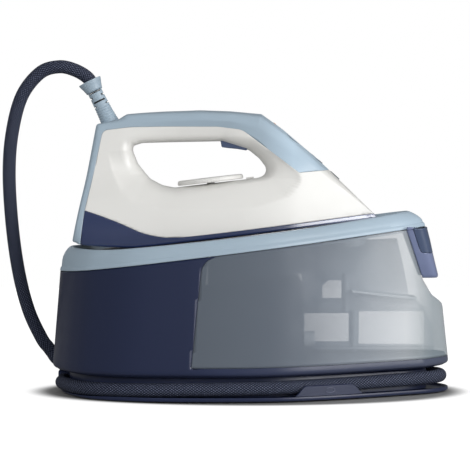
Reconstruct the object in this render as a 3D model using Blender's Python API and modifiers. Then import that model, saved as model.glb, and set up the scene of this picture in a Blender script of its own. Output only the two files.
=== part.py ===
"""Steam generator iron: a base with boiler and slide-out water tank, and the iron that rests on its deck.

The frame: +X towards the nose, +Y to the iron's left, +Z up, the origin on the table under the middle of the
base. Lengths are in millimetres inside this file and become metres when a mesh is made.
"""

import math

import bmesh
import bpy
from mathutils import Matrix, Vector

MM = 0.001
GAP = 0.35  # between pieces that touch

# Base
BASE_REAR = -191.7
BASE_NOSE = 190.7
BASE_HALF = 110.0
TRAY_LOW = 23.5
TRAY_HIGH = 35.0
WALL = 2.6
DECK_LOW = 140.0  # height of the deck's lower edge at x = 0
DECK_SLOPE = 0.122
SPINE_HALF = 62.0
SPINE_NOSE = 47.0
SPINE_HIGH = 113.4
TANK_EDGE_X = -47.6
TANK_EDGE_Z = 119.2
TANK_EDGE_LEAN = 0.103
TANK_TRAVEL_GAP = 0.6
CLIP_SPAN = (40.0, 104.0)
CLIP_TOP = 15.6
CLIP_THICK = 2.4
FOOT_SIZE = (-184.5, 191.0, 111.0)  # rear, nose and half width of the foot plate

# Iron, in its own frame: u along the soleplate, v across, h up from the rest mat
REST_Z = 151.1
REST_TILT = math.atan(0.117)
IRON_REAR = -171.0
IRON_LENGTH = 295.6
IRON_HALF = 54.0
IRON_SOFTNESS = 4.0  # how far the plan and the waist melt into each other
SKIN = 3.0
DIAL_U = -33.3
DIAL_RADIUS = 32.0
GRIP_FLOOR = 54.6

# Hose
HOSE_RADIUS = 6.4
RELIEF_FOOT = (-137.6, 0.0, 262.0)
RELIEF_MOUTH = (-156.4, 0.0, 299.8)

# Half outline of the base seen from above: fraction of the length from the rear, fraction of the half width.
HULL_PLAN = [
    (0.0, 0.0), (0.003, 0.16), (0.020, 0.36), (0.058, 0.62), (0.11, 0.80), (0.217, 0.955), (0.395, 1.0),
    (0.56, 0.955), (0.69, 0.80), (0.80, 0.605), (0.895, 0.42), (0.95, 0.30), (0.983, 0.18), (0.997, 0.08),
    (1.0, 0.0),
]
IRON_PLAN = [
    (0.0, 0.80), (0.03, 0.90), (0.10, 0.97), (0.25, 1.0), (0.40, 0.97), (0.55, 0.86), (0.70, 0.66),
    (0.82, 0.43), (0.92, 0.22), (0.98, 0.09), (1.0, 0.02),
]
# Half width of the iron at a height over the mat
IRON_WAIST = [
    (0, 52), (8, 54), (20, 52.5), (35, 47), (52, 38.5), (68, 28), (82, 22), (100, 20), (115, 19), (131, 17),
]
# Sections of the iron from heel to tip: foot u, foot h, top u, top h
IRON_SECTIONS = [
    (-171, 13.9, -135.9, 124.5), (-160, 9.5, -124, 125.3), (-151, 7, -115, 126.3), (-142, 5, -105.9, 130.6),
    (-118, 3, -88, 130), (-95, 3, -69.4, 129), (-50, 3, -35.5, 126.3), (0, 3, -6.7, 121.9),
    (45, 3, 23.1, 115.5), (64, 3, 41, 99.5), (80, 3, 57, 82.2), (91, 3, 67.3, 71.3), (102, 3, 82.8, 53),
    (112, 3, 99, 34), (119, 3, 112, 18), (123.6, 3, 121.5, 6.5),
]
GRIP_GAP = [
    (-103.6, 99.7), (-94.7, 101.3), (-18, 94), (7, 82.6), (16.2, 73.2), (21.4, 64.4), (21.4, 60.1),
    (18.5, 56.1), (12.8, GRIP_FLOOR), (-69.1, GRIP_FLOOR), (-80.6, 58.4), (-91.3, 66), (-101.2, 81.8),
    (-104.9, 95.3),
]
# Outline of the trigger from the side, clockwise in u and h
TRIGGER = [(-18, 99), (-2, 97), (4.4, 92), (6.2, 84), (5, 82.0), (-4, 84.6), (-17, 87.6), (-19.6, 88.6)]
COVER_EDGE = [
    (-164, 6), (-161.8, 14.2), (-154.9, 42.9), (-131.4, 112), (-123.8, 116.5), (-106.4, 117.4),
    (-70.4, 114.2), (-20.9, 108.3), (1.7, 102), (13.1, 92.7), (29.2, 77.4), (45.3, 63), (53.1, 54.2), (90, 53),
]
SHIELD_EDGE = [
    (-165, 47), (-153.7, 43.1), (-124.9, 29.1), (-103.6, 16.7), (-87.1, 10.8), (-74.7, 8.8), (-39.1, 7.4),
    (130, 7.6),
]
# Buttons and lens on the panel: name, distance along the panel from its crest, radius
BUTTONS = [("steam_button", 38.0, 8.5), ("power_button", 68.0, 5.5), ("indicator_lens", 16.0, 2.2)]
PANEL_CREST = (23.1, 115.5)
PANEL_FOOT = (82.8, 53.0)
PANEL_BOW = 2.2  # rise of the panel's middle over the straight line from its crest to its foot

for old in list(bpy.data.objects):
    bpy.data.objects.remove(old, do_unlink=True)

parts = bpy.data.collections.new("steam_generator_iron")
cutters = bpy.data.collections.new("cutters")
bpy.context.scene.collection.children.link(parts)
bpy.context.scene.collection.children.link(cutters)


def make_material(name, colour, roughness, metallic=0.0, alpha=1.0):
    material = bpy.data.materials.new(name)
    material.use_nodes = True
    shader = material.node_tree.nodes["Principled BSDF"]
    shader.inputs["Base Color"].default_value = (*colour, 1)
    shader.inputs["Roughness"].default_value = roughness
    shader.inputs["Metallic"].default_value = metallic
    shader.inputs["Alpha"].default_value = alpha
    return material


navy = make_material("navy_plastic", (0.035, 0.045, 0.12), 0.35)
light_blue = make_material("light_blue_plastic", (0.36, 0.45, 0.58), 0.4)
white = make_material("white_plastic", (0.83, 0.83, 0.81), 0.25)
clear = make_material("clear_tank", (0.55, 0.62, 0.68), 0.08, alpha=0.45)
rubber = make_material("grey_rubber", (0.16, 0.16, 0.17), 0.8)
metal = make_material("aluminium", (0.75, 0.75, 0.77), 0.35, 1.0)
steel = make_material("steel", (0.6, 0.6, 0.62), 0.3, 1.0)
board_green = make_material("board", (0.05, 0.22, 0.10), 0.5)
black = make_material("black_plastic", (0.02, 0.02, 0.022), 0.5)
braid = make_material("braid", (0.06, 0.07, 0.14), 0.8)
lens_red = make_material("lens", (0.6, 0.1, 0.05), 0.2)


# Geometry helpers


def between(table, value):
    """The value of a piecewise straight function given as (place, value) rows."""
    if value <= table[0][0]:
        return table[0][1]
    for (a, low), (b, high) in zip(table, table[1:]):
        if value <= b:
            return low + (high - low) * (value - a) / (b - a)
    return table[-1][1]


def curve_span(a, b, c, d, steps):
    """Points from b towards c on the Catmull-Rom curve that also passes a and d."""
    span = []
    for k in range(steps):
        t = k / steps
        square = (2 * a - 5 * b + 4 * c - d) * t * t
        cube = (3 * b - a - 3 * c + d) * t**3
        span.append(0.5 * (2 * b + (c - a) * t + square + cube))
    return span


def smooth_line(points, steps):
    points = [Vector(p) for p in points]
    padded = [2 * points[0] - points[1], *points, 2 * points[-1] - points[-2]]
    line = []
    for around in zip(padded, padded[1:], padded[2:], padded[3:]):
        line += curve_span(*around, steps)
    return [*line, points[-1]]


def smooth_loop(outline):
    """A closed outline with its corners rounded by a curve through its points."""
    points = [Vector(p) for p in outline]
    result = []
    for i in range(len(points)):
        around = [points[(i + k - 1) % len(points)] for k in range(4)]
        result += curve_span(*around, 1 if (around[2] - around[1]).length > 40 else 2)
    return result


def even_line(line, count):
    """count points at even steps along a line."""
    lengths = [0.0]
    for a, b in zip(line, line[1:]):
        lengths.append(lengths[-1] + (b - a).length)
    result = []
    k = 0
    for i in range(count):
        want = lengths[-1] * i / (count - 1)
        while k < len(line) - 2 and lengths[k + 1] < want:
            k += 1
        span = max(lengths[k + 1] - lengths[k], 1e-9)
        result.append(line[k].lerp(line[k + 1], min(1.0, (want - lengths[k]) / span)))
    return result


def plan_ring(rear, nose, half, count=27, inset=0.0):
    """A closed outline of the base seen from above, as (x, y) points, moved in by inset."""
    dense = smooth_line([(rear + u * (nose - rear), v * half) for u, v in HULL_PLAN], 8)
    right = even_line([Vector((p[0], max(p[1], 0.0))) for p in dense], count)
    ring = [Vector((p.x, -p.y)) for p in right] + [Vector((p.x, p.y)) for p in right[-2:0:-1]]
    return offset_ring(ring, inset) if inset else ring


def offset_ring(ring, inset):
    """A counter-clockwise outline moved to its inside."""
    moved = []
    for i, p in enumerate(ring):
        along = (ring[(i + 1) % len(ring)] - ring[i - 1]).normalized()
        moved.append(p + Vector((-along.y, along.x)) * inset)
    return moved


def hull_ring(height_of_x, cut=True, inset=0.0, count=27):
    """The outer outline of the base where it meets the surface z = height_of_x(x)."""
    ring = []
    middle = height_of_x(0)
    for p in plan_ring(-1, 1, 1, count):
        z = middle
        for _ in range(4):
            x = hull_x(p.x, z)
            y = p.y * hull_half(z)
            if cut:
                x = min(x, nose_cut(z) - 4 * (y / 42) ** 2)
            z = height_of_x(x)
        ring.append(Vector((x, y, z)))
    if inset:
        flat = offset_ring([Vector((p.x, p.y)) for p in ring], inset)
        ring = [Vector((q.x, q.y, height_of_x(q.x))) for q in flat]
    return ring


def hull_x(along, z):
    rear = BASE_REAR + 0.082 * (z - TRAY_HIGH)
    nose = BASE_NOSE - 0.108 * (z - TRAY_HIGH)
    return rear + (along + 1) / 2 * (nose - rear)


def hull_half(z):
    return BASE_HALF - 0.058 * (z - TRAY_HIGH)


def nose_cut(z):
    """How far forward the tank's nose reaches: it steps back above the finger recess."""
    return between([(80, 200), (86, 185.5), (94, 174.5), (109, 165.5), (157, 150.5)], z)


def deck_plane(drop=0.0):
    return lambda x: DECK_LOW + DECK_SLOPE * x - drop


def level(z):
    return lambda x: z


def rest_plane(drop=0.0):
    return lambda x: REST_Z + math.tan(REST_TILT) * x - drop


def rim_height(x):
    return 154.2 + 0.1195 * x + 0.000118 * x * x + (0.00135 * (x + 120) ** 2 if x < -120 else 0)


def to_iron(u, v, h):
    """A place in the iron's frame, in the base's frame."""
    c, s = math.cos(REST_TILT), math.sin(REST_TILT)
    return Vector((u * c - h * s, v, REST_Z + u * s + h * c))


IRON_FRAME = Matrix.Rotation(-REST_TILT, 4, "Y")


def iron_way(u, v, h):
    """A direction in the iron's frame, in the base's frame."""
    return to_iron(u, v, h) - to_iron(0, 0, 0)


# Object helpers


def add(name, mesh, material, collection=parts):
    obj = bpy.data.objects.new(name, mesh)
    collection.objects.link(obj)
    if collection is cutters:
        obj.hide_render = True
        obj.display_type = "WIRE"
    else:
        mesh.materials.clear()
        mesh.materials.append(material)
    return obj


def finish_mesh(name, bm, material, collection=parts, smooth=True):
    bmesh.ops.recalc_face_normals(bm, faces=bm.faces)
    bmesh.ops.scale(bm, vec=(MM, MM, MM), verts=bm.verts)
    mesh = bpy.data.meshes.new(name)
    bm.to_mesh(mesh)
    bm.free()
    if smooth:
        mesh.shade_smooth()
        mesh.set_sharp_from_angle(angle=math.radians(35))
    return add(name, mesh, material, collection)


def skin_rings(name, rings, material, collection=parts):
    """A closed solid through rings of the same number of points, with flat ends."""
    bm = bmesh.new()
    loops = [[bm.verts.new(p) for p in ring] for ring in rings]
    size = len(loops[0])
    for low, high in zip(loops, loops[1:]):
        for i in range(size):
            j = (i + 1) % size
            bm.faces.new((low[i], low[j], high[j], high[i]))
    bm.faces.new(loops[0][::-1])
    bm.faces.new(loops[-1])
    return finish_mesh(name, bm, material, collection)


def plate(name, outline, low, high, material, collection=parts, place=None, upright=False):
    """A flat outline between two heights, or standing in the XZ plane between two depths in y."""
    curve = bpy.data.curves.new(name, "CURVE")
    curve.dimensions = "2D"
    curve.fill_mode = "BOTH"
    curve.extrude = abs(high - low) / 2 * MM
    spline = curve.splines.new("POLY")
    spline.points.add(len(outline) - 1)
    for point, p in zip(spline.points, outline):
        point.co = (p[0] * MM, p[1] * MM, 0, 1)
    spline.use_cyclic_u = True
    middle = (low + high) / 2 * MM
    matrix = Matrix.Translation((0, 0, middle))
    if upright:
        matrix = Matrix.Translation((0, middle, 0)) @ Matrix.Rotation(math.radians(90), 4, "X")
    guide = bpy.data.objects.new(name + "_guide", curve)
    bpy.context.scene.collection.objects.link(guide)
    bpy.context.view_layer.update()
    graph = bpy.context.evaluated_depsgraph_get()
    mesh = bpy.data.meshes.new_from_object(guide.evaluated_get(graph))
    bpy.data.objects.remove(guide, do_unlink=True)
    mesh.name = name
    bm = bmesh.new()
    bm.from_mesh(mesh)
    bmesh.ops.remove_doubles(bm, verts=bm.verts, dist=1e-6)
    bmesh.ops.transform(bm, matrix=(place or Matrix.Identity(4)) @ matrix, verts=bm.verts)
    bmesh.ops.recalc_face_normals(bm, faces=bm.faces)
    bm.to_mesh(mesh)
    bm.free()
    return add(name, mesh, material, collection)


def box(name, size, centre, material, collection=parts, bevel=0.0, turn=None):
    bm = bmesh.new()
    bmesh.ops.create_cube(bm, size=1)
    bmesh.ops.scale(bm, vec=size, verts=bm.verts)
    obj = finish_mesh(name, bm, material, collection, smooth=False)
    obj.location = Vector(centre) * MM
    if turn is not None:
        obj.rotation_euler = turn.to_euler()
    if bevel:
        soften = obj.modifiers.new("edges", "BEVEL")
        soften.width = bevel * MM
        soften.segments = 2
    return obj


def rod(name, radius, start, end, material, collection=parts, sides=24, end_radius=None):
    start, end = Vector(start), Vector(end)
    bm = bmesh.new()
    top = radius if end_radius is None else end_radius
    length = (end - start).length
    bmesh.ops.create_cone(bm, cap_ends=True, segments=sides, radius1=radius, radius2=top, depth=length)
    obj = finish_mesh(name, bm, material, collection)
    obj.location = (start + end) / 2 * MM
    obj.rotation_euler = (end - start).to_track_quat("Z", "Y").to_euler()
    return obj


def turned(name, profile, place, axis, material, collection=parts, steps=24):
    """A profile of (radius, height), top to bottom down its outer side, turned round an axis."""
    bm = bmesh.new()
    points = [bm.verts.new((r * MM, 0, h * MM)) for r, h in profile]
    for a, b in zip(points, points[1:]):
        bm.edges.new((a, b))
    mesh = bpy.data.meshes.new(name)
    bm.to_mesh(mesh)
    bm.free()
    obj = add(name, mesh, material, collection)
    obj.location = Vector(place) * MM
    obj.rotation_euler = Vector(axis).to_track_quat("Z", "Y").to_euler()
    spin = obj.modifiers.new("turn", "SCREW")
    spin.steps = spin.render_steps = steps
    spin.use_merge_vertices = True
    spin.merge_threshold = 0.00001
    spin.use_smooth_shade = True
    return obj


def tube(name, points, radius, material, sides=2):
    curve = bpy.data.curves.new(name, "CURVE")
    curve.dimensions = "3D"
    curve.bevel_depth = radius * MM
    curve.bevel_resolution = sides
    curve.use_fill_caps = True
    spline = curve.splines.new("POLY")
    spline.points.add(len(points) - 1)
    for point, p in zip(spline.points, points):
        point.co = (*(Vector(p) * MM), 1)
    obj = bpy.data.objects.new(name, curve)
    parts.objects.link(obj)
    curve.materials.append(material)
    return obj


def boolean(target, cutter, operation="DIFFERENCE"):
    step = target.modifiers.new(cutter.name, "BOOLEAN")
    step.operation = operation
    step.object = cutter
    step.solver = "EXACT"
    return target


# Base: shared shapes


HULL_LEVELS = (0, 0.45, 0.72, 0.86, 1)
TANK_LEVELS = (0, 0.2, 0.41, 0.435, 0.49, 0.62, 1)


def hull(name, low, high, inset=0.0, levels=HULL_LEVELS, collection=cutters, material=None, cut=True):
    """The solid of the base between two surfaces given as heights over x."""
    rings = []
    for f in levels:
        rings.append(hull_ring(lambda x, f=f: low(x) + f * (high(x) - low(x)), cut, inset))
    return skin_rings(name, rings, material, collection)


def tank_profile(gap):
    """The tank's outline from the side, its rear edge leaning back and its upper rear corner round."""
    low_x = TANK_EDGE_X - TANK_EDGE_LEAN * (TANK_EDGE_Z - 20) + gap
    outline = [(low_x, 20), (TANK_EDGE_X + gap, TANK_EDGE_Z)]
    for k in range(1, 6):
        angle = math.radians(180 - 15 * k)
        across = TANK_EDGE_X + gap + 14 + 14 * math.cos(angle)
        outline.append((across, TANK_EDGE_Z - 1 + 16 * math.sin(angle)))
    outline += [(230, 170), (230, 20)]
    return outline


def tank_space(name, gap):
    """The room that the tank fills: everything in front of its rear edge, round the spine."""
    space = plate(name, tank_profile(gap), -140, 140, None, cutters, upright=True)
    nose = SPINE_NOSE + gap
    top = SPINE_HIGH + gap
    rear_top = top - DECK_SLOPE * (nose + 148)  # parallel to the way that the tank slides
    spine_top = [(-150, 10), (nose, 10), (nose, top - 1.5), (nose - 2, top), (-150, rear_top)]
    half = SPINE_HALF + gap
    spine = plate(name + "_spine", spine_top, -half, half, None, cutters, upright=True)
    return boolean(space, spine)


def build_foot_plate():
    rings = []
    profile = [
        (22, 1.4, 0), (3, 1.4, 0), (0.4, 2.2, 0), (0, 3.0, 0.4), (0.6, 3.2, 1), (1.6, 3.2, 1), (2.2, 3.1, 0.2),
        (30, 3.0, 0),
    ]
    for inset, z, lip in profile:
        ring = plan_ring(*FOOT_SIZE, inset=inset)
        rings.append([Vector((p.x, p.y, z + lip * lip_rise(p.x))) for p in ring])
    skin_rings("foot_plate", rings, navy)
    for i, (x, y) in enumerate([(-135, -68), (-135, 68), (95, -45), (95, 45)]):
        rod(f"foot_pad_{i + 1}", 8, (x, y, 0), (x, y, 1.05), rubber, sides=20)


def lip_rise(x):
    """The foot plate's lip is low at the rear, where the hose leaves the groove."""
    f = min(1.0, max(0.0, (x + 184) / 70))
    return 0.2 + 2.0 * f * f * (3 - 2 * f)


def build_winding_core():
    rings = []
    for inset, z in [(0, 3.7), (0, 21), (2, TRAY_LOW - GAP)]:
        rings.append([Vector((p.x, p.y, z)) for p in plan_ring(-171, 170, 91, inset=inset)])
    skin_rings("winding_core", rings, navy)


def build_hose_clip():
    """The raised tab that holds the hose in its groove on the right side."""
    outer = plan_ring(*FOOT_SIZE, count=150)
    inner = offset_ring(outer, CLIP_THICK)
    low_x, high_x = CLIP_SPAN
    bm = bmesh.new()
    columns = []
    for p, q in zip(outer, inner):
        if p.y < 0 and low_x <= p.x <= high_x:
            shape = min(1.0, min(p.x - low_x, high_x - p.x) / 9.0)
            top = 6.4 + (CLIP_TOP - 6.4) * math.sin(shape * math.pi / 2)
            columns.append([bm.verts.new((*r, z)) for r in (p, q) for z in (5.75, top)])
    for a, b in zip(columns, columns[1:]):
        for i, j in ((0, 1), (1, 3), (3, 2), (2, 0)):
            bm.faces.new((a[i], a[j], b[j], b[i]))
    for end in (columns[0], columns[-1]):
        bm.faces.new((end[0], end[1], end[3], end[2]))
    finish_mesh("hose_clip", bm, navy)


def build_tray():
    """The navy strip at the foot of the housing: an open tub that carries the works."""

    def ring(inset, z):
        return hull_ring(level(z), inset=inset)

    rings = [ring(12, 23.5), ring(5.5, 23.7), ring(2, 26.2), ring(0.3, 30), ring(0, 34.6)]
    rings += [ring(WALL, 34.6), ring(WALL + 0.4, 30), ring(9, 26.4), ring(14, 26.4)]
    skin_rings("bottom_tray", rings, navy)


def build_main_housing():
    top = deck_plane(GAP)
    housing = hull("main_housing", level(TRAY_HIGH), top, collection=parts, material=navy, cut=False)
    boolean(housing, tank_space("tank_space", 0.0))
    hollow = hull("housing_hollow", level(TRAY_HIGH - 6), deck_plane(3.4), inset=WALL, cut=False)
    boolean(hollow, tank_space("tank_space_wide", -WALL))
    boolean(housing, hollow)
    boolean(housing, rod("drain_hole", 13.4, (-120, 88, 62), (-120, 116, 62), None, cutters))
    boolean(housing, rod("inlet_hole", 8.4, (-200, 46, 50), (-150, 40, 50), None, cutters))
    boolean(housing, rod("dock_hole", 8.4, (30, 0, 50), (60, 0, 50), None, cutters))


def build_deck():
    def ring(rear, nose, half, height, inset=0.0):
        points = plan_ring(rear, nose, half, inset=inset)
        return [Vector((min(p.x, nose - 1.5), p.y, height(p.x))) for p in points]

    low = deck_plane()
    floor = rest_plane(2.3)
    rings = [
        ring(-156, 132, 88, rest_plane(4.8)),
        ring(-180.5, 164.5, 101.5, low),
        ring(-185.2, 169.5, 105.3, low),
        ring(-184.4, 168.5, 104.6, lambda x: low(x) + 4),
        ring(-180, 160, 102.3, lambda x: low(x) + 0.75 * (rim_height(x) - low(x))),
        ring(-176, 153.5, 99.8, rim_height),
        ring(-172.5, 150.5, 97.4, rim_height),
        ring(-168, 146.5, 94.5, lambda x: rim_height(x) - 1.6),
        ring(-163, 142, 91, floor),
    ]
    skin_rings("deck", rings, light_blue)
    mat = []
    for inset, lift in ((1.0, 0.35), (1.0, 1.9), (1.6, 2.3)):
        mat.append(ring(-163, 142, 91, lambda x, lift=lift: floor(x) + lift, inset))
    skin_rings("rest_mat", mat, rubber)


def build_works():
    """What the housing holds: boiler, pump, valve, board and tubes."""
    outside = [(4, 50), (28, 49), (34, 45), (36, 39), (36, -39), (34, -45), (28, -49), (0, -50)]
    inside = [
        (0, -48.6), (27.2, -47.6), (32.8, -43.9), (34.6, -38.4), (34.6, 38.4), (32.8, 43.9), (27.2, 47.6),
        (4, 48.6),
    ]
    turned("boiler", [*outside, *inside, outside[0]], (-110, 0, 74), (1, 0, 0), steel, steps=32)
    band = [(36.4, 8), (38.6, 8), (38.6, -8), (36.4, -8), (36.4, 8)]
    turned("boiler_heater", band, (-92, 0, 74), (1, 0, 0), metal, steps=32)
    rod("boiler_thermostat", 9, (-130, 0, 110.6), (-130, 0, 116), black)
    box("solenoid_valve", (26, 22, 34), (-150, 50, 78), steel, bevel=1.5)
    rod("pump", 15, (-30, 18, 52), (30, 18, 52), black)
    box("pump_mount", (40, 34, 8), (0, 18, 32), rubber, bevel=1)
    box("power_board", (78, 1.8, 46), (-5, -48, 66), board_green)
    water = [(37.2, 0, 50), (33, 0, 50.6), (22, -5, 59), (4, -6, 71), (-30, 2, 76), (-50, 8, 78)]
    tube("water_tube", smooth_line(water, 4), 2.6, black)
    steam = [(-150, 50, 60.6), (-151, 49, 50), (-152, 44, 38), (-153, 38, 30)]
    tube("steam_tube", smooth_line(steam, 4), 3.2, black)
    rod("dock_socket", 8, (37.6, 0, 50), (46.8, 0, 50), black)
    plug = [(0, 6), (12, 6), (13, 5), (13, -6), (8, -6.5), (8, -14), (0, -14)]
    turned("drain_plug", plug, (-120, 98.6, 62), (0, 1, 0), navy)
    turned("mains_inlet", [(0, 9), (8, 9), (8, -9), (0, -9)], (-172, 42.6, 50), (-1, 0.12, 0), black)
    box("hose_outlet", (14, 16, 15), (-181.5, 14.2, 11.6), navy, bevel=1.5)


# Tank


def build_tank():
    body = hull("tank_body", level(TRAY_HIGH + GAP), deck_plane(3.4), collection=parts, material=clear,
                levels=TANK_LEVELS)
    room = tank_space("tank_room", TANK_TRAVEL_GAP)
    boolean(body, room, "INTERSECT")
    hollow = hull("tank_hollow", level(TRAY_HIGH + 3), deck_plane(-9), inset=2.4, levels=TANK_LEVELS)
    boolean(hollow, tank_space("tank_room_small", TANK_TRAVEL_GAP + 2.4), "INTERSECT")
    boolean(body, hollow)
    lid = hull("tank_lid", deck_plane(3.0), deck_plane(0.7), collection=parts, material=clear, levels=(0, 1))
    boolean(lid, room, "INTERSECT")
    up = Vector((-DECK_SLOPE, 0, 1)).normalized()
    spot = Vector((95, 0, deck_plane(1.0)(95)))
    boolean(lid, rod("fill_hole", 18, spot - up * 20, spot + up * 20, None, cutters, sides=32))
    cap = [(0, 0), (16, 0), (17.4, -1), (17.4, -7), (14, -8), (14, -10), (0, -10)]
    turned("fill_cap", cap, spot, up, navy, steps=32)
    outline = [(54, 40), (54, 115), (97, 117), (97, 97), (158, 90), (168, 82), (176, 60), (177, 40)]
    baffle = plate("tank_baffle", outline, -1.5, 1.5, clear, upright=True)
    windows = [(68.8, 90.2, 87.4, 107.6), (58, 48, 94.5, 75.6), (104.2, 45.6, 168, 77.5)]
    for i, (x0, z0, x1, z1) in enumerate(windows):
        middle = ((x0 + x1) / 2, 0, (z0 + z1) / 2)
        boolean(baffle, box(f"window_{i}", (x1 - x0, 20, z1 - z0), middle, None, cutters))
    boolean(baffle, rod("valve_room", 8.6, (50, 0, 50), (62, 0, 50), None, cutters))
    rod("tank_valve", 8, (51.0, 0, 50), (61.5, 0, 50), black)


def handle_ring(z, rear, front, half, lift=False, count=28):
    """A plan section of the tank handle: a straight back, a bowed front."""
    ring = []
    for k in range(count):
        a = 2 * math.pi * k / count
        y = half * math.copysign(abs(math.sin(a)) ** 0.6, math.sin(a))
        x = rear if math.cos(a) < 0 else rear + (front - rear) * math.cos(a) ** 0.5
        if math.cos(a) < 0:
            x = rear - 12 * abs(math.cos(a)) ** 0.5
        ring.append(Vector((x, y, deck_plane(0.8)(x) if lift else z)))
    return ring


def build_tank_handle():
    sections = [
        (110.6, 164, 179.6, 24, False), (112.5, 163, 180.6, 26, False), (135, 157, 175, 33, False),
        (0, 150, 169, 38, True),
    ]
    handle = skin_rings("tank_handle", [handle_ring(*row) for row in sections], navy)
    clearing = hull("tank_front", level(TRAY_HIGH + GAP), deck_plane(3.4), inset=-1.8, levels=TANK_LEVELS)
    clearing_top = hull("tank_front_top", deck_plane(4.4), deck_plane(-3), inset=-1.0, levels=(0, 1))
    boolean(boolean(handle, clearing), clearing_top)
    button = skin_rings("tank_release_button", [handle_ring(*row) for row in sections], navy)
    boolean(boolean(button, clearing), clearing_top)
    lean = Matrix.Rotation(math.radians(-13), 4, "Y")
    seat = box("button_seat", (16, 90, 40), (170.3, 0, 153), None, cutters, turn=lean)
    boolean(handle, seat)
    core = box("button_core", (13, 88, 39.2), (172.1, 0, 153.6), None, cutters, turn=lean)
    boolean(button, core, "INTERSECT")


# Iron


def section_half(u, h):
    plan = between(IRON_PLAN, (u - IRON_REAR) / IRON_LENGTH) * IRON_HALF
    waist = between(IRON_WAIST, h)
    return -IRON_SOFTNESS * math.log(math.exp(-plan / IRON_SOFTNESS) + math.exp(-waist / IRON_SOFTNESS))


def iron_rings(inset=0.0, floor=None, last=None, levels=11):
    rows = IRON_SECTIONS[:last]
    rings = []
    tops = [Vector((row[2], row[3])) for row in rows]
    for i, (foot_u, foot_h, _, _) in enumerate(rows):
        along = (tops[min(i + 1, len(tops) - 1)] - tops[max(i - 1, 0)]).normalized()
        top = tops[i] + Vector((along.y, -along.x)) * inset
        foot = Vector((foot_u, foot_h if floor is None else floor))
        if i == 0 and inset:
            shift = Vector((inset * 1.1, 0))
            top += shift
            foot += shift
        height = (top - foot).length
        side = []
        for k in range(levels):
            f = 1 - (1 - k / (levels - 1)) ** 1.5
            p = foot.lerp(top, f)
            left = (1 - f) * height
            half = max(section_half(p.x, p.y) - inset, 0.8)
            radius = min(13.0, height * 0.6)
            if left < radius:
                half *= max(0.42, math.sqrt(max(0.0, 1 - (1 - left / radius) ** 2)))
            side.append((p, half))
        right = [to_iron(p.x, -half, p.y) for p, half in side]
        left = [to_iron(p.x, half, p.y) for p, half in side[::-1]]
        rings.append(right + left)
    return rings


def iron_side(outline):
    """Points of a side outline in the iron's frame, for an upright plate."""
    return [(q.x, q.z) for q in (to_iron(u, 0, h) for u, h in outline)]


def grown(outline, by):
    """A clockwise outline moved outwards."""
    points = [Vector(p) for p in outline]
    return [tuple(p) for p in offset_ring(points, by)]


def build_iron_shells():
    grip = smooth_loop(GRIP_GAP)
    gap = plate("grip_gap", iron_side(grip), -60, 60, None, cutters, upright=True)
    wide = plate("grip_gap_wide", iron_side(grown(grip, SKIN)), -60, 60, None, cutters, upright=True)
    core = skin_rings("iron_core", iron_rings(SKIN, floor=-4, last=-3), None, cutters)
    boolean(core, wide)
    over = [(-230, 6), *COVER_EDGE, (150, 53), (150, 190), (-230, 190)]
    cover_zone = plate("cover_zone", iron_side(over), -70, 70, None, cutters, upright=True)
    over_wide = [(p[0] + GAP * 0.7, p[1] - GAP * 0.8) for p in over]
    cover_zone_wide = plate("cover_zone_wide", iron_side(over_wide), -71, 71, None, cutters, upright=True)
    under = [(-240, 47), *SHIELD_EDGE, (130, -20), (-240, -20)]
    shield_zone = plate("shield_zone", iron_side(under), -72, 72, None, cutters, upright=True)
    under_wide = [(p[0], p[1] + (GAP if p[1] > -10 else -2)) for p in under]
    shield_zone_wide = plate("shield_zone_wide", iron_side(under_wide), -73, 73, None, cutters, upright=True)

    shell = skin_rings("body_shell", iron_rings(), white)
    for zone in (gap, cover_zone_wide, shield_zone_wide, core):
        boolean(shell, zone)
    hole = to_iron(DIAL_U, 0, 40)
    boolean(shell, rod("shaft_hole", 4.4, hole, to_iron(DIAL_U, 0, 60), None, cutters))
    slot = plate("trigger_slot", iron_side(grown(TRIGGER, 0.7)), -7.6, 7.6, None, cutters, upright=True)
    boolean(shell, slot)

    cover = skin_rings("handle_cover", iron_rings(), light_blue)
    boolean(cover, cover_zone, "INTERSECT")
    boolean(cover, gap)
    boolean(cover, core)
    for name, spot, radius in BUTTONS:
        place, normal = panel_place(spot)
        hole = rod(name + "_hole", radius + 0.5, place - normal * 9, place + normal * 9, None, cutters)
        boolean(cover, hole)
    foot, mouth = Vector(RELIEF_FOOT), Vector(RELIEF_MOUTH)
    way = (mouth - foot).normalized()
    boolean(cover, rod("relief_hole", 7.4, foot - way * 16, foot + way * 12, None, cutters))

    for side in (-1, 1):
        spot, out = heel_place(side)
        hole = rod(f"heel_hole_{side + 2}", 3.5, spot - out * 8, spot + out * 8, None, cutters, sides=16)
        boolean(cover, hole)

    shield = skin_rings("heat_shield", iron_rings(), navy)
    boolean(shield, shield_zone, "INTERSECT")
    boolean(shield, cover_zone_wide)
    boolean(shield, core)


def panel_place(along):
    """A point on the panel and the panel's outward normal, in the base's frame."""
    crest, foot = Vector(PANEL_CREST), Vector(PANEL_FOOT)
    way = (foot - crest).normalized()
    bow = PANEL_BOW * math.sin(math.pi * along / (foot - crest).length)
    p = crest + way * along + Vector((-way.y, way.x)) * bow
    normal = iron_way(-way.y, 0, way.x).normalized()
    return to_iron(p.x, 0, p.y), normal


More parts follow.
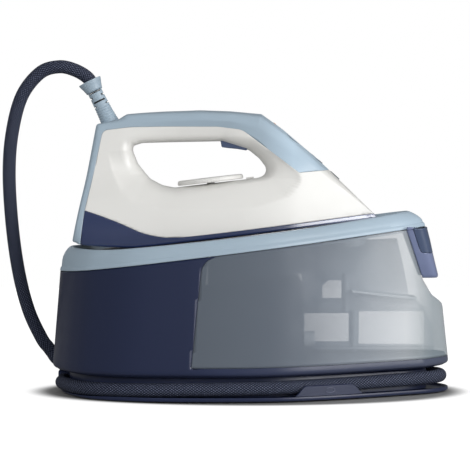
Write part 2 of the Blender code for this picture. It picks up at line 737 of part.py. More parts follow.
def build_iron_controls():
    up = iron_way(0, 0, 1)
    for name, spot, radius in BUTTONS:
        place, normal = panel_place(spot)
        material = lens_red if name == "indicator_lens" else light_blue
        rod(name, radius, place - normal * 4.0, place + normal * 0.3, material)
    dial = [(0, 60.4), (30.5, 60.4), (DIAL_RADIUS, 59.4), (DIAL_RADIUS, 57.2), (30.5, 55.9), (0, 55.9)]
    turned("temperature_dial", dial, to_iron(DIAL_U, 0, 0), up, white, steps=48)
    rod("dial_shaft", 3.8, to_iron(DIAL_U, 0, 32), to_iron(DIAL_U, 0, 55.5), black)
    plate("steam_trigger", iron_side(TRIGGER), -7, 7, navy, upright=True)
    box("microswitch", (12, 8, 6), to_iron(-10, 0, 105.4), black, turn=IRON_FRAME)
    box("iron_board", (60, 30, 1.6), to_iron(-82, 0, 40), board_green, turn=IRON_FRAME)


def iron_plan(low_u, high_u, half):
    """A plan outline of the soleplate family, (u, v) counter-clockwise."""
    shape = [
        (0, 0.62), (0.012, 0.80), (0.05, 0.93), (0.14, 0.99), (0.28, 1.0), (0.42, 0.95), (0.56, 0.84),
        (0.7, 0.66), (0.82, 0.45), (0.91, 0.26), (0.97, 0.11), (1.0, 0.0),
    ]
    right = [(low_u + f * (high_u - low_u), -v * half) for f, v in shape]
    return right + [(u, -v) for u, v in right[-2::-1]]


def build_iron_works():
    place = Matrix.Translation(to_iron(0, 0, 0) * MM) @ IRON_FRAME
    sole = plate("soleplate", iron_plan(-150, 119, 50.5), 0.3, 2.6, metal, place=place)
    soften = sole.modifiers.new("edges", "BEVEL")
    soften.width = 0.8 * MM
    soften.segments = 1
    soften.limit_method = "ANGLE"
    plate("steam_chamber", iron_plan(-130, 82, 36), 4.2, 17, metal, place=place)
    plate("chamber_cover", iron_plan(-126, 78, 34), 17.4, 19.4, steel, place=place)
    rod("iron_thermostat", 9, to_iron(DIAL_U, 0, 19.8), to_iron(DIAL_U, 0, 31.6), black)


def heel_place(side):
    """The place of a heel screw on the heel's face and the way out of it."""
    return to_iron(-156.4, 14 * side, 60), iron_way(-1, 0, 0.317).normalized()


def build_strain_relief():
    foot, mouth = Vector(RELIEF_FOOT), Vector(RELIEF_MOUTH)
    way = (mouth - foot).normalized()
    length = (mouth - foot).length
    profile = [(0, length - 8), (7.2, length - 8), (9.4, length + 0.4), (11.2, length)]
    profile += [(10.2, length - 4), (8.4, length - 9), (7.5, length - 12)]
    height = length - 12
    for k in range(4):
        height -= 5
        rim = 7.6 + 0.1 * k
        profile += [(rim, height + 1.5), (6.4, height + 1.2), (6.4, height), (rim, height - 0.4)]
    profile += [(8.1, 7), (8.3, 4.6), (6.9, 4.4), (6.9, -9), (0, -9)]
    turned("strain_relief", profile, foot, way, light_blue, steps=18)
    for i, side in enumerate((-1, 1)):
        spot, out = heel_place(side)
        rod(f"heel_screw_{i + 1}", 3.0, spot - out * 6, spot - out * 0.5, steel, sides=16)


# Hose

# Places round the groove that the hose passes, closer together at the nose
GROOVE_SHARES = [
    0.13, 0.17, 0.21, 0.25, 0.29, 0.33, 0.37, 0.405, 0.44, 0.465, 0.485, 0.5, 0.515, 0.535, 0.56, 0.595, 0.63,
    0.67, 0.71, 0.75, 0.79, 0.83, 0.87, 0.90, 0.93, 0.955, 0.98,
]


def groove_height(x):
    return 13.0 + 0.015 * x


def groove_point(share):
    """A place on the groove's centreline: share 0 at the rear, 0.5 at the nose, by way of the left side."""
    ring = plan_ring(-192.5, 191.5, 110.0, count=120, inset=8.4)
    count = len(ring)
    p = ring[int(round((1 - share) * count)) % count]
    return (p.x, p.y, groove_height(p.x))


def build_hose():
    foot, mouth = Vector(RELIEF_FOOT), Vector(RELIEF_MOUTH)
    way = (mouth - foot).normalized()
    start = mouth - way * 6.6
    free = [
        tuple(start), tuple(mouth + way * 4), (-171, 0.5, 311.2), (-186.6, 1.5, 314.4), (-205, 3.5, 308.5),
        (-223, 6.5, 286), (-233, 10, 250), (-236.5, 15, 210), (-234.5, 22, 160), (-229, 31, 113),
        (-220.5, 42, 75), (-209, 54, 46.5),
    ]
    join, way = Vector((-199.0, 63.0, 31.0)), Vector((0.5, 0.42, -0.76)).normalized()
    line = even_line(smooth_line([*free, tuple(join - way * 8)], 8), 26)
    tube("hose_free", [*line, join], HOSE_RADIUS, braid, sides=2)
    wrap = [tuple(join + way * 8), (-184, 74.0, 15.5), (-164, 82.5, 11.6)]
    wrap += [groove_point(share) for share in GROOVE_SHARES]
    end = groove_point(0.0)
    wrap += [(end[0], -1.5, end[2]), (end[0], 5.6, end[2])]
    line = even_line(smooth_line(wrap, 6), 56)
    tube("hose_wrap", [join + way * 0.5, *line], HOSE_RADIUS, braid, sides=2)


build_foot_plate()
build_winding_core()
build_hose_clip()
build_tray()
build_main_housing()
build_deck()
build_works()
build_tank()
build_tank_handle()
build_iron_shells()
build_iron_controls()
build_iron_works()
build_strain_relief()
build_hose()
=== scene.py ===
import math

import bpy
import numpy as np
from mathutils import Matrix, Vector


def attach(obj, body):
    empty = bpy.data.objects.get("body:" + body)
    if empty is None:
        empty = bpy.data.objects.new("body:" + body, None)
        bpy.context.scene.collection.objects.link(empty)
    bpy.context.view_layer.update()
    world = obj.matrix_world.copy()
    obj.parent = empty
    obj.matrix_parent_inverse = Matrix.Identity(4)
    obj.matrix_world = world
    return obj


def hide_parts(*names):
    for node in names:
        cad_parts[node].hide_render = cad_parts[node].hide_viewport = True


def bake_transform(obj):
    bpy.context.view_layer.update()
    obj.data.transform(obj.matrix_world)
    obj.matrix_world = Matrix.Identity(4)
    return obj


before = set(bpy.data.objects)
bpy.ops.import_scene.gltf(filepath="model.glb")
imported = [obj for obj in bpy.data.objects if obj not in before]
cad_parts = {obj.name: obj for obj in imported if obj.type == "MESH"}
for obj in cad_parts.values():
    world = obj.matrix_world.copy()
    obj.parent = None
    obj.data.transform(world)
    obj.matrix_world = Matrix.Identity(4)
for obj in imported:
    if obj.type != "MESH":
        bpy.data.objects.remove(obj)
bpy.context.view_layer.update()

mm = 0.001
print("frame loaded:", len(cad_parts), "nodes")

# Camera, light and table come first

studio = {
    "cameraPlace": (-0.016, -2.0, 0.225),
    "cameraTarget": (-0.016, 0.0, 0.1515),
    "lens": 158.0,
    "roomLight": 0.20,
    "tableSize": 3.2,
    "tableShade": 0.33,
    "tableGlow": (0.0, 0.88),  # glow close to the foot plate and away from it; the low glow by the plate leaves a painted shadow round the base, besides the real one
}
softboxes = [  # name, place, target, width, height, power, seen in reflections, lights surfaces
    ("keyBox", (1.95, -1.45, 0.75), (0.03, 0, 0.12), 1.4, 1.6, 44.0, True, True),
    ("glossBox", (1.62, -1.8, 0.4), (0.03, 0, 0.12), 0.8, 1.0, 8.0, True, False),
    ("frontBox", (-0.5, -2.5, 0.7), (0.0, 0, 0.12), 1.0, 0.9, 25.0, False, True),
    ("topBox", (0.3, 0.1, 1.9), (0.0, 0, 0.1), 1.5, 1.5, 3.0, True, True),
    ("backBox", (-0.5, 2.3, 1.0), (0.0, 0, 0.12), 1.2, 0.9, 16.0, False, True),
    ("rearBox", (-1.9, -0.3, 0.6), (-0.1, 0, 0.12), 0.5, 1.0, 3.0, False, True),
]


def aim(thing, target):
    thing.rotation_euler = (Vector(target) - thing.location).to_track_quat("-Z", "Y").to_euler()


def buildStudio():
    view = bpy.data.cameras.new("view")
    view.lens = studio["lens"]
    view.sensor_width = 36
    camera = bpy.data.objects.new("view", view)
    bpy.context.scene.collection.objects.link(camera)
    camera.location = studio["cameraPlace"]
    aim(camera, studio["cameraTarget"])
    bpy.context.scene.camera = camera
    bpy.context.scene.view_settings.view_transform = "Standard"
    for name, place, target, width, height, power, shines, lights in softboxes:
        lamp = bpy.data.lights.new(name, "AREA")
        lamp.shape = "RECTANGLE"
        lamp.size = width
        lamp.size_y = height
        lamp.energy = power
        box = bpy.data.objects.new(name, lamp)
        bpy.context.scene.collection.objects.link(box)
        box.location = place
        box.visible_glossy = shines
        box.visible_diffuse = lights
        aim(box, target)
    world = bpy.data.worlds.new("room")
    bpy.context.scene.world = world
    world.use_nodes = True
    tree = world.node_tree
    room = tree.nodes["Background"]
    room.inputs["Strength"].default_value = studio["roomLight"]
    seen = tree.nodes.new("ShaderNodeBackground")
    path = tree.nodes.new("ShaderNodeLightPath")
    mix = tree.nodes.new("ShaderNodeMixShader")
    room.inputs["Color"].default_value = (1, 1, 1, 1)
    seen.inputs["Color"].default_value = (1, 1, 1, 1)
    tree.links.new(path.outputs["Is Camera Ray"], mix.inputs[0])
    tree.links.new(room.outputs[0], mix.inputs[1])
    tree.links.new(seen.outputs[0], mix.inputs[2])
    tree.links.new(mix.outputs[0], tree.nodes["World Output"].inputs["Surface"])
    bpy.ops.mesh.primitive_plane_add(size=studio["tableSize"])
    table = bpy.context.object
    table.name = "table_top"
    pale = bpy.data.materials.new("pale_table")
    pale.use_nodes = True
    leaves = pale.node_tree
    paint = leaves.nodes["Principled BSDF"]
    shade = studio["tableShade"]
    paint.inputs["Base Color"].default_value = (shade, shade, shade, 1)
    paint.inputs["Roughness"].default_value = 0.8
    paint.inputs["Specular IOR Level"].default_value = 0.1
    glow = leaves.nodes.new("ShaderNodeEmission")
    where = leaves.nodes.new("ShaderNodeTexCoord")
    squeeze = leaves.nodes.new("ShaderNodeMapping")
    squeeze.inputs["Scale"].default_value = (1 / 0.188, 1 / 0.112, 1)
    squeeze.inputs["Location"].default_value = (0.011, 0, 0)
    leaves.links.new(where.outputs["Object"], squeeze.inputs["Vector"])
    far = leaves.nodes.new("ShaderNodeVectorMath")
    far.operation = "LENGTH"
    leaves.links.new(squeeze.outputs["Vector"], far.inputs[0])
    # The camera-only glow is none at the foot plate's edge and full a little further out: a painted shadow round the
    # base, on top of the real shading.
    lift = leaves.nodes.new("ShaderNodeMapRange")
    lift.interpolation_type = "SMOOTHSTEP"
    lift.inputs["From Min"].default_value = 1.02
    lift.inputs["From Max"].default_value = 1.17
    lift.inputs["To Min"].default_value, lift.inputs["To Max"].default_value = studio["tableGlow"]
    leaves.links.new(far.outputs["Value"], lift.inputs["Value"])
    leaves.links.new(lift.outputs["Result"], glow.inputs["Strength"])
    both = leaves.nodes.new("ShaderNodeAddShader")
    path = leaves.nodes.new("ShaderNodeLightPath")
    mix = leaves.nodes.new("ShaderNodeMixShader")
    leaves.links.new(paint.outputs[0], both.inputs[0])
    leaves.links.new(glow.outputs[0], both.inputs[1])
    leaves.links.new(path.outputs["Is Camera Ray"], mix.inputs[0])
    leaves.links.new(paint.outputs[0], mix.inputs[1])
    leaves.links.new(both.outputs[0], mix.inputs[2])
    leaves.links.new(mix.outputs[0], leaves.nodes["Material Output"].inputs["Surface"])
    table.data.materials.append(pale)


buildStudio()
print("studio ready")

# Finishes

colours = {
    "navy": (0.017, 0.024, 0.060),
    "shieldBlue": (0.020, 0.034, 0.100),
    "paleBlue": (0.350, 0.442, 0.522),
    "white": (0.76, 0.755, 0.73),
    "clear": (0.20, 0.235, 0.27),
    "mat": (0.030, 0.030, 0.034),
    "braid": (0.014, 0.018, 0.034),
    "braidLight": (0.15, 0.17, 0.25),
}


def finish(name, colour, roughness, **sockets):
    material = bpy.data.materials.new(name)
    material.use_nodes = True
    shader = material.node_tree.nodes["Principled BSDF"]
    shader.inputs["Base Color"].default_value = (*colour, 1)
    shader.inputs["Roughness"].default_value = roughness
    for socket, value in sockets.items():
        shader.inputs[socket.replace("_", " ")].default_value = value
    return material


def place(material):
    tree = material.node_tree
    found = tree.nodes.get("place")
    if found is None:
        found = tree.nodes.new("ShaderNodeTexCoord")
        found.name = "place"
    return found.outputs["Object"]


def noise(material, scale, detail=2.0, stretch=None):
    tree = material.node_tree
    node = tree.nodes.new("ShaderNodeTexNoise")
    node.inputs["Scale"].default_value = scale
    node.inputs["Detail"].default_value = detail
    source = place(material)
    if stretch:
        mapping = tree.nodes.new("ShaderNodeMapping")
        mapping.inputs["Scale"].default_value = stretch
        tree.links.new(source, mapping.inputs["Vector"])
        source = mapping.outputs["Vector"]
    tree.links.new(source, node.inputs["Vector"])
    return node.outputs["Fac"]


def spread(material, value, low, high, fromLow=0.3, fromHigh=0.7):
    tree = material.node_tree
    node = tree.nodes.new("ShaderNodeMapRange")
    node.inputs["From Min"].default_value = fromLow
    node.inputs["From Max"].default_value = fromHigh
    node.inputs["To Min"].default_value = low
    node.inputs["To Max"].default_value = high
    tree.links.new(value, node.inputs["Value"])
    return node.outputs["Result"]


def blendColours(material, factor, first, second):
    tree = material.node_tree
    node = tree.nodes.new("ShaderNodeMix")
    node.data_type = "RGBA"
    node.inputs["A"].default_value = (*first, 1)
    node.inputs["B"].default_value = (*second, 1)
    tree.links.new(factor, node.inputs["Factor"])
    return node.outputs["Result"]


def joinTo(material, output, socket):
    material.node_tree.links.new(output, material.node_tree.nodes["Principled BSDF"].inputs[socket])


def bump(material, height, strength, distance):
    tree = material.node_tree
    node = tree.nodes.new("ShaderNodeBump")
    node.inputs["Strength"].default_value = strength
    node.inputs["Distance"].default_value = distance
    tree.links.new(height, node.inputs["Height"])
    joinTo(material, node.outputs["Normal"], "Normal")


def tinted(colour, by):
    return tuple(min(1.0, c * by) for c in colour)


def mouldedPlastic(name, colour, roughness, grain=0.1, spreadBy=0.04, **sockets):
    material = finish(name, colour, roughness, **sockets)
    cloud = noise(material, 14.0, 3.0)
    shade = blendColours(material, spread(material, cloud, 0.0, 1.0), tinted(colour, 1 - spreadBy), tinted(colour, 1 + spreadBy))
    joinTo(material, shade, "Base Color")
    joinTo(material, spread(material, noise(material, 60.0, 4.0), roughness * 0.9, roughness * 1.12), "Roughness")
    bump(material, noise(material, 2600.0, 2.0), grain, 0.00015)
    return material


def rampAlong(material, stops):
    """Colour and opacity that change along x, from the rear to the nose; the stops paint light and shade into the
    colour.
    """
    tree = material.node_tree
    split = tree.nodes.new("ShaderNodeSeparateXYZ")
    tree.links.new(place(material), split.inputs[0])
    ramp = tree.nodes.new("ShaderNodeValToRGB")
    low, high = stops[0][0] * mm, stops[-1][0] * mm
    tree.links.new(spread(material, split.outputs["X"], 0.0, 1.0, low, high), ramp.inputs[0])
    band = ramp.color_ramp.elements
    while len(band) < len(stops):
        band.new(0.5)
    for slot, (x, colour, alpha) in zip(band, stops):
        slot.position = (x * mm - low) / (high - low)
        slot.color = (*colour, alpha)
    return ramp.outputs["Color"], ramp.outputs["Alpha"]


def clearPlastic(name, colour, alpha, roughness, stops=None):
    material = finish(name, colour, roughness, Alpha=alpha, IOR=1.49, Specular_IOR_Level=0.22)
    if stops:
        shade, cover = rampAlong(material, stops)
        joinTo(material, shade, "Base Color")
        joinTo(material, cover, "Alpha")
    else:
        cloud = spread(material, noise(material, 9.0, 2.0), 0.0, 1.0)
        joinTo(material, blendColours(material, cloud, tinted(colour, 0.95), tinted(colour, 1.05)), "Base Color")
    joinTo(material, spread(material, noise(material, 40.0, 3.0), roughness * 0.8, roughness * 1.3), "Roughness")
    bump(material, noise(material, 18.0, 1.0), 0.04, 0.0004)
    return material


def gradedPlastic(name, stops, roughness, **sockets):
    material = finish(name, stops[0][1], roughness, **sockets)
    shade, cover = rampAlong(material, stops)
    joinTo(material, shade, "Base Color")
    if min(stop[2] for stop in stops) < 1:
        joinTo(material, cover, "Alpha")
    joinTo(material, spread(material, noise(material, 60.0, 4.0), roughness * 0.9, roughness * 1.12), "Roughness")
    bump(material, noise(material, 900.0, 2.0), 0.08, 0.00015)
    return material


def drawnMetal(name, colour, roughness, stretch=(1.0, 60.0, 60.0)):
    material = finish(name, colour, roughness, Metallic=1.0)
    lines = noise(material, 22.0, 4.0, stretch)
    joinTo(material, spread(material, lines, roughness * 0.75, roughness * 1.4), "Roughness")
    joinTo(material, blendColours(material, lines, tinted(colour, 0.88), tinted(colour, 1.06)), "Base Color")
    bump(material, lines, 0.12, 0.0002)
    return material


def softRubber(name, colour):
    material = finish(name, colour, 0.72, Specular_IOR_Level=0.35)
    joinTo(material, blendColours(material, noise(material, 90.0, 4.0), tinted(colour, 0.8), tinted(colour, 1.25)), "Base Color")
    joinTo(material, spread(material, noise(material, 240.0, 3.0), 0.62, 0.85), "Roughness")
    bump(material, noise(material, 1400.0, 3.0), 0.35, 0.0003)
    return material


def boardFinish(name):
    material = finish(name, (0.02, 0.13, 0.05), 0.4)
    tree = material.node_tree
    tracks = tree.nodes.new("ShaderNodeTexBrick")
    tracks.inputs["Scale"].default_value = 140.0
    tracks.inputs["Color1"].default_value = (0.02, 0.13, 0.05, 1)
    tracks.inputs["Color2"].default_value = (0.015, 0.10, 0.04, 1)
    tracks.inputs["Mortar"].default_value = (0.10, 0.24, 0.09, 1)
    tree.links.new(place(material), tracks.inputs["Vector"])
    joinTo(material, tracks.outputs["Color"], "Base Color")
    bump(material, tracks.outputs["Fac"], 0.2, 0.0003)
    return material


braidWeave = {"aroundStrands": 16.0, "pitchMm": 3.3}


def braidFinish(name):
    material = finish(name, colours["braid"], 0.62, Specular_IOR_Level=0.2)
    tree = material.node_tree
    layout = tree.nodes.new("ShaderNodeUVMap")
    layout.uv_map = "UVMap"
    split = tree.nodes.new("ShaderNodeSeparateXYZ")
    tree.links.new(layout.outputs["UV"], split.inputs[0])

    def calc(operation, first, second=None):
        node = tree.nodes.new("ShaderNodeMath")
        node.operation = operation
        for socket, value in zip(node.inputs, (first, second)):
            if isinstance(value, (int, float)):
                socket.default_value = value
            elif value is not None:
                tree.links.new(value, socket)
        return node.outputs[0]

    along = calc("MULTIPLY", split.outputs["X"], 1.0)
    around = calc("MULTIPLY", split.outputs["Y"], braidWeave["aroundStrands"])
    rising = calc("FRACT", calc("ADD", along, around))
    falling = calc("FRACT", calc("SUBTRACT", along, around))
    ridgeA = calc("SINE", calc("MULTIPLY", rising, math.pi))
    ridgeB = calc("SINE", calc("MULTIPLY", falling, math.pi))
    over = calc("GREATER_THAN", calc("SINE", calc("MULTIPLY", along, math.pi)), 0.0)
    height = calc("MAXIMUM", calc("MULTIPLY", ridgeA, calc("ADD", 0.6, calc("MULTIPLY", over, 0.4))),
                  calc("MULTIPLY", ridgeB, calc("SUBTRACT", 1.0, calc("MULTIPLY", over, 0.4))))
    fleck = calc("GREATER_THAN", calc("MULTIPLY", ridgeA, ridgeB), 0.55)
    light = calc("MULTIPLY", fleck, spread(material, noise(material, 700.0, 2.0), 0.35, 0.9))
    joinTo(material, blendColours(material, light, colours["braid"], colours["braidLight"]), "Base Color")
    bump(material, height, 0.8, 0.0008)
    return material


navy = mouldedPlastic("navy_plastic", colours["navy"], 0.34, 0.10, 0.05, Specular_IOR_Level=0.42)
# The handle's colour is raised well above the release button's: a painted highlight of the key light's reflection.
handleBlue = mouldedPlastic("handle_plastic", (0.185, 0.22, 0.36), 0.24, 0.06, 0.05)
buttonBlue = mouldedPlastic("button_plastic", (0.066, 0.092, 0.165), 0.3, 0.06, 0.05)
# The shield's colour turns pale lavender from about 35 to 125 mm forward and back to navy at the tip: a painted
# highlight.
shieldPaintedHighlight = [(-170, colours["shieldBlue"], 1), (35, colours["shieldBlue"], 1), (85, (0.20, 0.23, 0.35), 1),
              (112, (0.40, 0.43, 0.56), 1), (125, (0.08, 0.10, 0.20), 1)]
shieldBlue = gradedPlastic("shield_plastic", shieldPaintedHighlight, 0.24, Specular_IOR_Level=0.8, Coat_Weight=1.0, Coat_Roughness=0.14)
# The housing and the strip under the tank get lighter toward the nose: painted light.
housingPaintedLight = [(-180, colours["navy"], 1), (-62, colours["navy"], 1), (-25, (0.026, 0.035, 0.078), 1),
               (40, (0.038, 0.047, 0.090), 1), (120, (0.060, 0.071, 0.115), 1), (176, (0.074, 0.087, 0.132), 1)]
housingNavy = gradedPlastic("housing_plastic", housingPaintedLight, 0.34, Specular_IOR_Level=0.42)
paleBlue = mouldedPlastic("pale_blue_plastic", colours["paleBlue"], 0.42, 0.14, 0.025)
white = mouldedPlastic("white_plastic", colours["white"], 0.38, 0.05, 0.012, Coat_Weight=0.12, Coat_Roughness=0.22)
# The tank gets lighter toward the nose, where the light falls: painted light; its alpha also drops toward the nose.
tankPaintedLight = [(-60, (0.128, 0.151, 0.183), 0.82), (24, (0.150, 0.176, 0.215), 0.78), (60, (0.20, 0.235, 0.285), 0.62),
            (100, (0.36, 0.41, 0.47), 0.52), (146, (0.58, 0.63, 0.68), 0.46), (158, (0.50, 0.56, 0.60), 0.46), (174, (0.30, 0.36, 0.40), 0.62)]
tankClear = clearPlastic("tank_clear", tankPaintedLight[0][1], 0.6, 0.36, tankPaintedLight)
# The frosted parts inside get lighter toward the nose, making up for light held back by the tank walls: painted light.
innerPaintedLight = [(-45, (0.16, 0.185, 0.22), 1), (50, (0.20, 0.23, 0.27), 1), (88, (0.27, 0.30, 0.34), 1), (122, (0.62, 0.66, 0.70), 0.6), (165, (0.80, 0.83, 0.86), 0.5)]
innerFrost = gradedPlastic("inner_frosted", innerPaintedLight, 0.4)
# The cover gets lighter over the front panel: painted light on the face turned to the lamp.
panelPaintedLight = [(10, colours["paleBlue"], 1), (40, tinted(colours["paleBlue"], 1.42), 1), (75, tinted(colours["paleBlue"], 1.14), 1)]
coverBlue = gradedPlastic("cover_blue_plastic", panelPaintedLight, 0.42)
# The deck gets lighter at its rear end and most toward the nose: painted light.
deckPaintedLight = [(-190, tinted(colours["paleBlue"], 1.2), 1), (-120, colours["paleBlue"], 1), (60, colours["paleBlue"], 1), (160, tinted(colours["paleBlue"], 1.22), 1)]
deckBlue = gradedPlastic("deck_blue_plastic", deckPaintedLight, 0.42)
pocketClear = clearPlastic("pocket_clear", (0.075, 0.09, 0.11), 0.3, 0.5)
innerPale = clearPlastic("inner_pale", (0.85, 0.90, 0.93), 0.9, 0.25)
# Dark grey in the gap under the front panel, round the buttons and in the ridge slit: painted shade in those gaps.
gapShadeGrey = mouldedPlastic("gap_shade_grey_plastic", (0.05, 0.06, 0.08), 0.6, 0.1, 0.08)
matRubber = softRubber("mat_rubber", colours["mat"])
blackPlastic = mouldedPlastic("black_plastic", (0.018, 0.018, 0.020), 0.5, 0.2, 0.1)
aluminium = drawnMetal("aluminium", (0.76, 0.76, 0.78), 0.33)
steel = drawnMetal("steel", (0.58, 0.58, 0.60), 0.28, (60.0, 1.0, 60.0))
boardGreen = boardFinish("board")
lensAmber = clearPlastic("indicator_amber", (0.75, 0.30, 0.10), 0.85, 0.08)
braid = braidFinish("hose_braid")
print("finishes ready")

# Helpers that make meshes. Outlines and rows are in millimetres.


def smoothLine(points, steps=8):
    points = [Vector(p) for p in points]
    padded = [2 * points[0] - points[1], *points, 2 * points[-1] - points[-2]]
    line = []
    for a, b, c, d in zip(padded, padded[1:], padded[2:], padded[3:]):
        for k in range(steps):
            t = k / steps
            line.append(0.5 * (2 * b + (c - a) * t + (2 * a - 5 * b + 4 * c - d) * t * t + (3 * b - a - 3 * c + d) * t**3))
    return [*line, points[-1]]


def evenLine(line, count):
    line = np.array([tuple(p) for p in line], float)
    run = np.concatenate([[0], np.cumsum(np.linalg.norm(np.diff(line, axis=0), axis=1))])
    want = np.linspace(0, run[-1], count)
    return np.stack([np.interp(want, run, line[:, k]) for k in range(line.shape[1])], axis=1)


def offsetRing(ring, inset):
    along = np.roll(ring, -1, axis=0) - np.roll(ring, 1, axis=0)
    along /= np.maximum(np.linalg.norm(along, axis=1, keepdims=True), 1e-9)
    return ring + np.stack([-along[:, 1], along[:, 0]], axis=1) * inset


def smoothTable(table):
    line = np.array([tuple(p) for p in smoothLine([(*row, 0) for row in table], 8)])
    return line[:, 0], line[:, 1]


def rowFaces(rows, size, closed=True):
    faces = []
    for r in range(rows - 1):
        for i in range(size if closed else size - 1):
            j = (i + 1) % size
            faces.append((r * size + i, r * size + j, (r + 1) * size + j, (r + 1) * size + i))
    return faces


def makeMesh(name, points, faces, material, angle=38.0):
    mesh = bpy.data.meshes.new(name)
    mesh.from_pydata([tuple(float(c) * mm for c in p) for p in points], [], [list(map(int, f)) for f in faces])
    mesh.validate()
    mesh.update()
    mesh.materials.append(material)
    mesh.shade_smooth()
    mesh.set_sharp_from_angle(angle=math.radians(angle))
    thing = bpy.data.objects.new(name, mesh)
    bpy.context.scene.collection.objects.link(thing)
    return thing


def faceOut(thing):
    import bmesh
    work = bmesh.new()
    work.from_mesh(thing.data)
    bmesh.ops.remove_doubles(work, verts=work.verts, dist=1e-6)
    bmesh.ops.recalc_face_normals(work, faces=work.faces)
    work.to_mesh(thing.data)
    work.free()
    return thing


def thicken(thing, depth, rimOnly=False):
    step = thing.modifiers.new("wall", "SOLIDIFY")
    step.thickness = depth * mm
    step.use_rim_only = rimOnly
    step.offset = -1
    step.use_even_offset = False
    return thing


def loft(name, rows, material, body, nodes, caps=True, angle=38.0):
    size = len(rows[0])
    points = np.concatenate(rows)
    faces = rowFaces(len(rows), size)
    if caps:
        faces += [tuple(range(size))[::-1], tuple(range((len(rows) - 1) * size, len(rows) * size))]
    thing = faceOut(makeMesh(name, points, faces, material, angle))
    return settle(thing, body, nodes)


def settle(thing, body, nodes=()):
    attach(thing, body)
    if nodes:
        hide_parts(*nodes)
    return thing


def splitMesh(points, faces, side):
    """Cuts faces where side changes sign and gives back (points, faces with side > 0, faces with side < 0)."""
    points = [tuple(p) for p in points]
    side = list(side)
    made = {}

    def between(a, b):
        key = (min(a, b), max(a, b))
        if key not in made:
            f = side[a] / (side[a] - side[b])
            made[key] = len(points)
            points.append(tuple(np.array(points[a]) * (1 - f) + np.array(points[b]) * f))
            side.append(0.0)
        return made[key]

    above, below = [], []
    for face in faces:
        values = [side[i] for i in face]
        if min(values) >= 0:
            above.append(face)
            continue
        if max(values) <= 0:
            below.append(face)
            continue
        for k in range(1, len(face) - 1):
            triangle = (face[0], face[k], face[k + 1])
            up, down = [], []
            for a, b in zip(triangle, triangle[1:] + triangle[:1]):
                (up if side[a] >= 0 else down).append(a)
                if side[a] * side[b] < 0:
                    cut = between(a, b)
                    up.append(cut)
                    down.append(cut)
            if len(up) > 2:
                above.append(tuple(up))
            if len(down) > 2:
                below.append(tuple(down))
    return np.array(points), above, below


def onlyUsed(points, faces):
    used = sorted({i for f in faces for i in f})
    new = {old: k for k, old in enumerate(used)}
    return points[used], [tuple(new[i] for i in f) for f in faces]


def distanceTo(line, p, closed=False):
    line = np.asarray(line, float)
    if closed:
        line = np.concatenate([line, line[:1]])
    best = np.full(len(p), np.inf)
    for a, b in zip(line, line[1:]):
        d = b - a
        t = np.clip(((p - a) @ d) / max(d @ d, 1e-12), 0, 1)
        best = np.minimum(best, np.linalg.norm(p - a - t[:, None] * d, axis=1))
    return best


def inside(outline, p):
    outline = np.asarray(outline, float)
    hit = np.zeros(len(p), bool)
    for (x0, y0), (x1, y1) in zip(outline, np.roll(outline, -1, axis=0)):
        crosses = (y0 > p[:, 1]) != (y1 > p[:, 1])
        with np.errstate(divide="ignore", invalid="ignore"):
            hit ^= crosses & (p[:, 0] < (x1 - x0) * (p[:, 1] - y0) / (y1 - y0) + x0)
    return hit


def signed(outline, p):
    """Distance to a closed outline, positive inside it."""
    return distanceTo(outline, p, True) * np.where(inside(outline, p), 1, -1)


# The base's outline, seen from above and at each height

base = {
    "rear": -191.7, "nose": 190.7, "half": 110.0, "trayLow": 23.2, "seam": 32.4, "trayHigh": 35.0, "wall": 2.4,
    "deckLow": 140.0, "deckSlope": 0.122, "around": 150,
    "plan": [(0.0, 0.0), (0.003, 0.16), (0.020, 0.36), (0.058, 0.62), (0.11, 0.80), (0.217, 0.955), (0.395, 1.0),
             (0.56, 0.955), (0.69, 0.80), (0.80, 0.605), (0.895, 0.42), (0.95, 0.30), (0.983, 0.18), (0.997, 0.08), (1.0, 0.0)],
    "corner": [(0.932, 0.352), (0.952, 0.278), (0.974, 0.188), (0.992, 0.092), (1.0, 0.0)],  # the front of the tank meets its side here
    "noseCut": [(80, 200), (86, 185.5), (94, 174.5), (109, 165.5), (157, 150.5)],
}


def planRing(rear, nose, half, inset=0.0, count=None, cornered=False):
    count = count or base["around"]
    plan = base["plan"]
    runs = [(plan, count)] if not cornered else [([*plan[:10], *base["corner"][:1]], count - 26), (base["corner"], 27)]
    right = []
    for run, share in runs:
        dense = smoothLine([(rear + u * (nose - rear), v * half, 0) for u, v in run], 10)
        line = evenLine([(p[0], max(p[1], 0.0)) for p in dense], share)
        right.append(line[1:] if right else line)
    right = np.concatenate(right)
    ring = np.concatenate([right * [1, -1], right[-2:0:-1]])
    return offsetRing(ring, inset) if inset else ring


unitRing = planRing(-1, 1, 1, cornered=True)


def deckPlane(drop=0.0):
    return lambda x: base["deckLow"] + base["deckSlope"] * x - drop


def level(z):
    return lambda x: z + 0 * x


def trayLevel(z):
    return lambda x: z + 2.4 * np.clip((x + 10) / 200, 0, 1) ** 1.3


def hullRing(height, cut=True, inset=0.0):
    z = height(np.zeros(len(unitRing)))
    for _ in range(5):
        rise = z - base["trayHigh"]
        rear = base["rear"] + 0.082 * rise
        nose = base["nose"] - 0.108 * rise
        x = rear + (unitRing[:, 0] + 1) / 2 * (nose - rear)
        y = unitRing[:, 1] * (base["half"] - 0.058 * rise)
        if cut:
            limit = np.interp(z, *zip(*base["noseCut"])) - 4 * (y / 42) ** 2
            x = softMin(x, limit, 1.6)
        z = height(x)
    ring = np.stack([x, y], axis=1)
    if inset:
        ring = offsetRing(ring, inset)
    return np.column_stack([ring, height(ring[:, 0])])


def softMin(a, b, width):
    return -width * np.logaddexp(-a / width, -b / width)


def rimHeight(x):
    return 154.2 + 0.1195 * x + 0.000118 * x * x + np.where(x < -120, 0.00135 * (x + 120) ** 2, 0)


restPlane = {"height": 151.1, "slope": 0.117}


def matPlane(drop=0.0):
    return lambda x: restPlane["height"] + restPlane["slope"] * x - drop


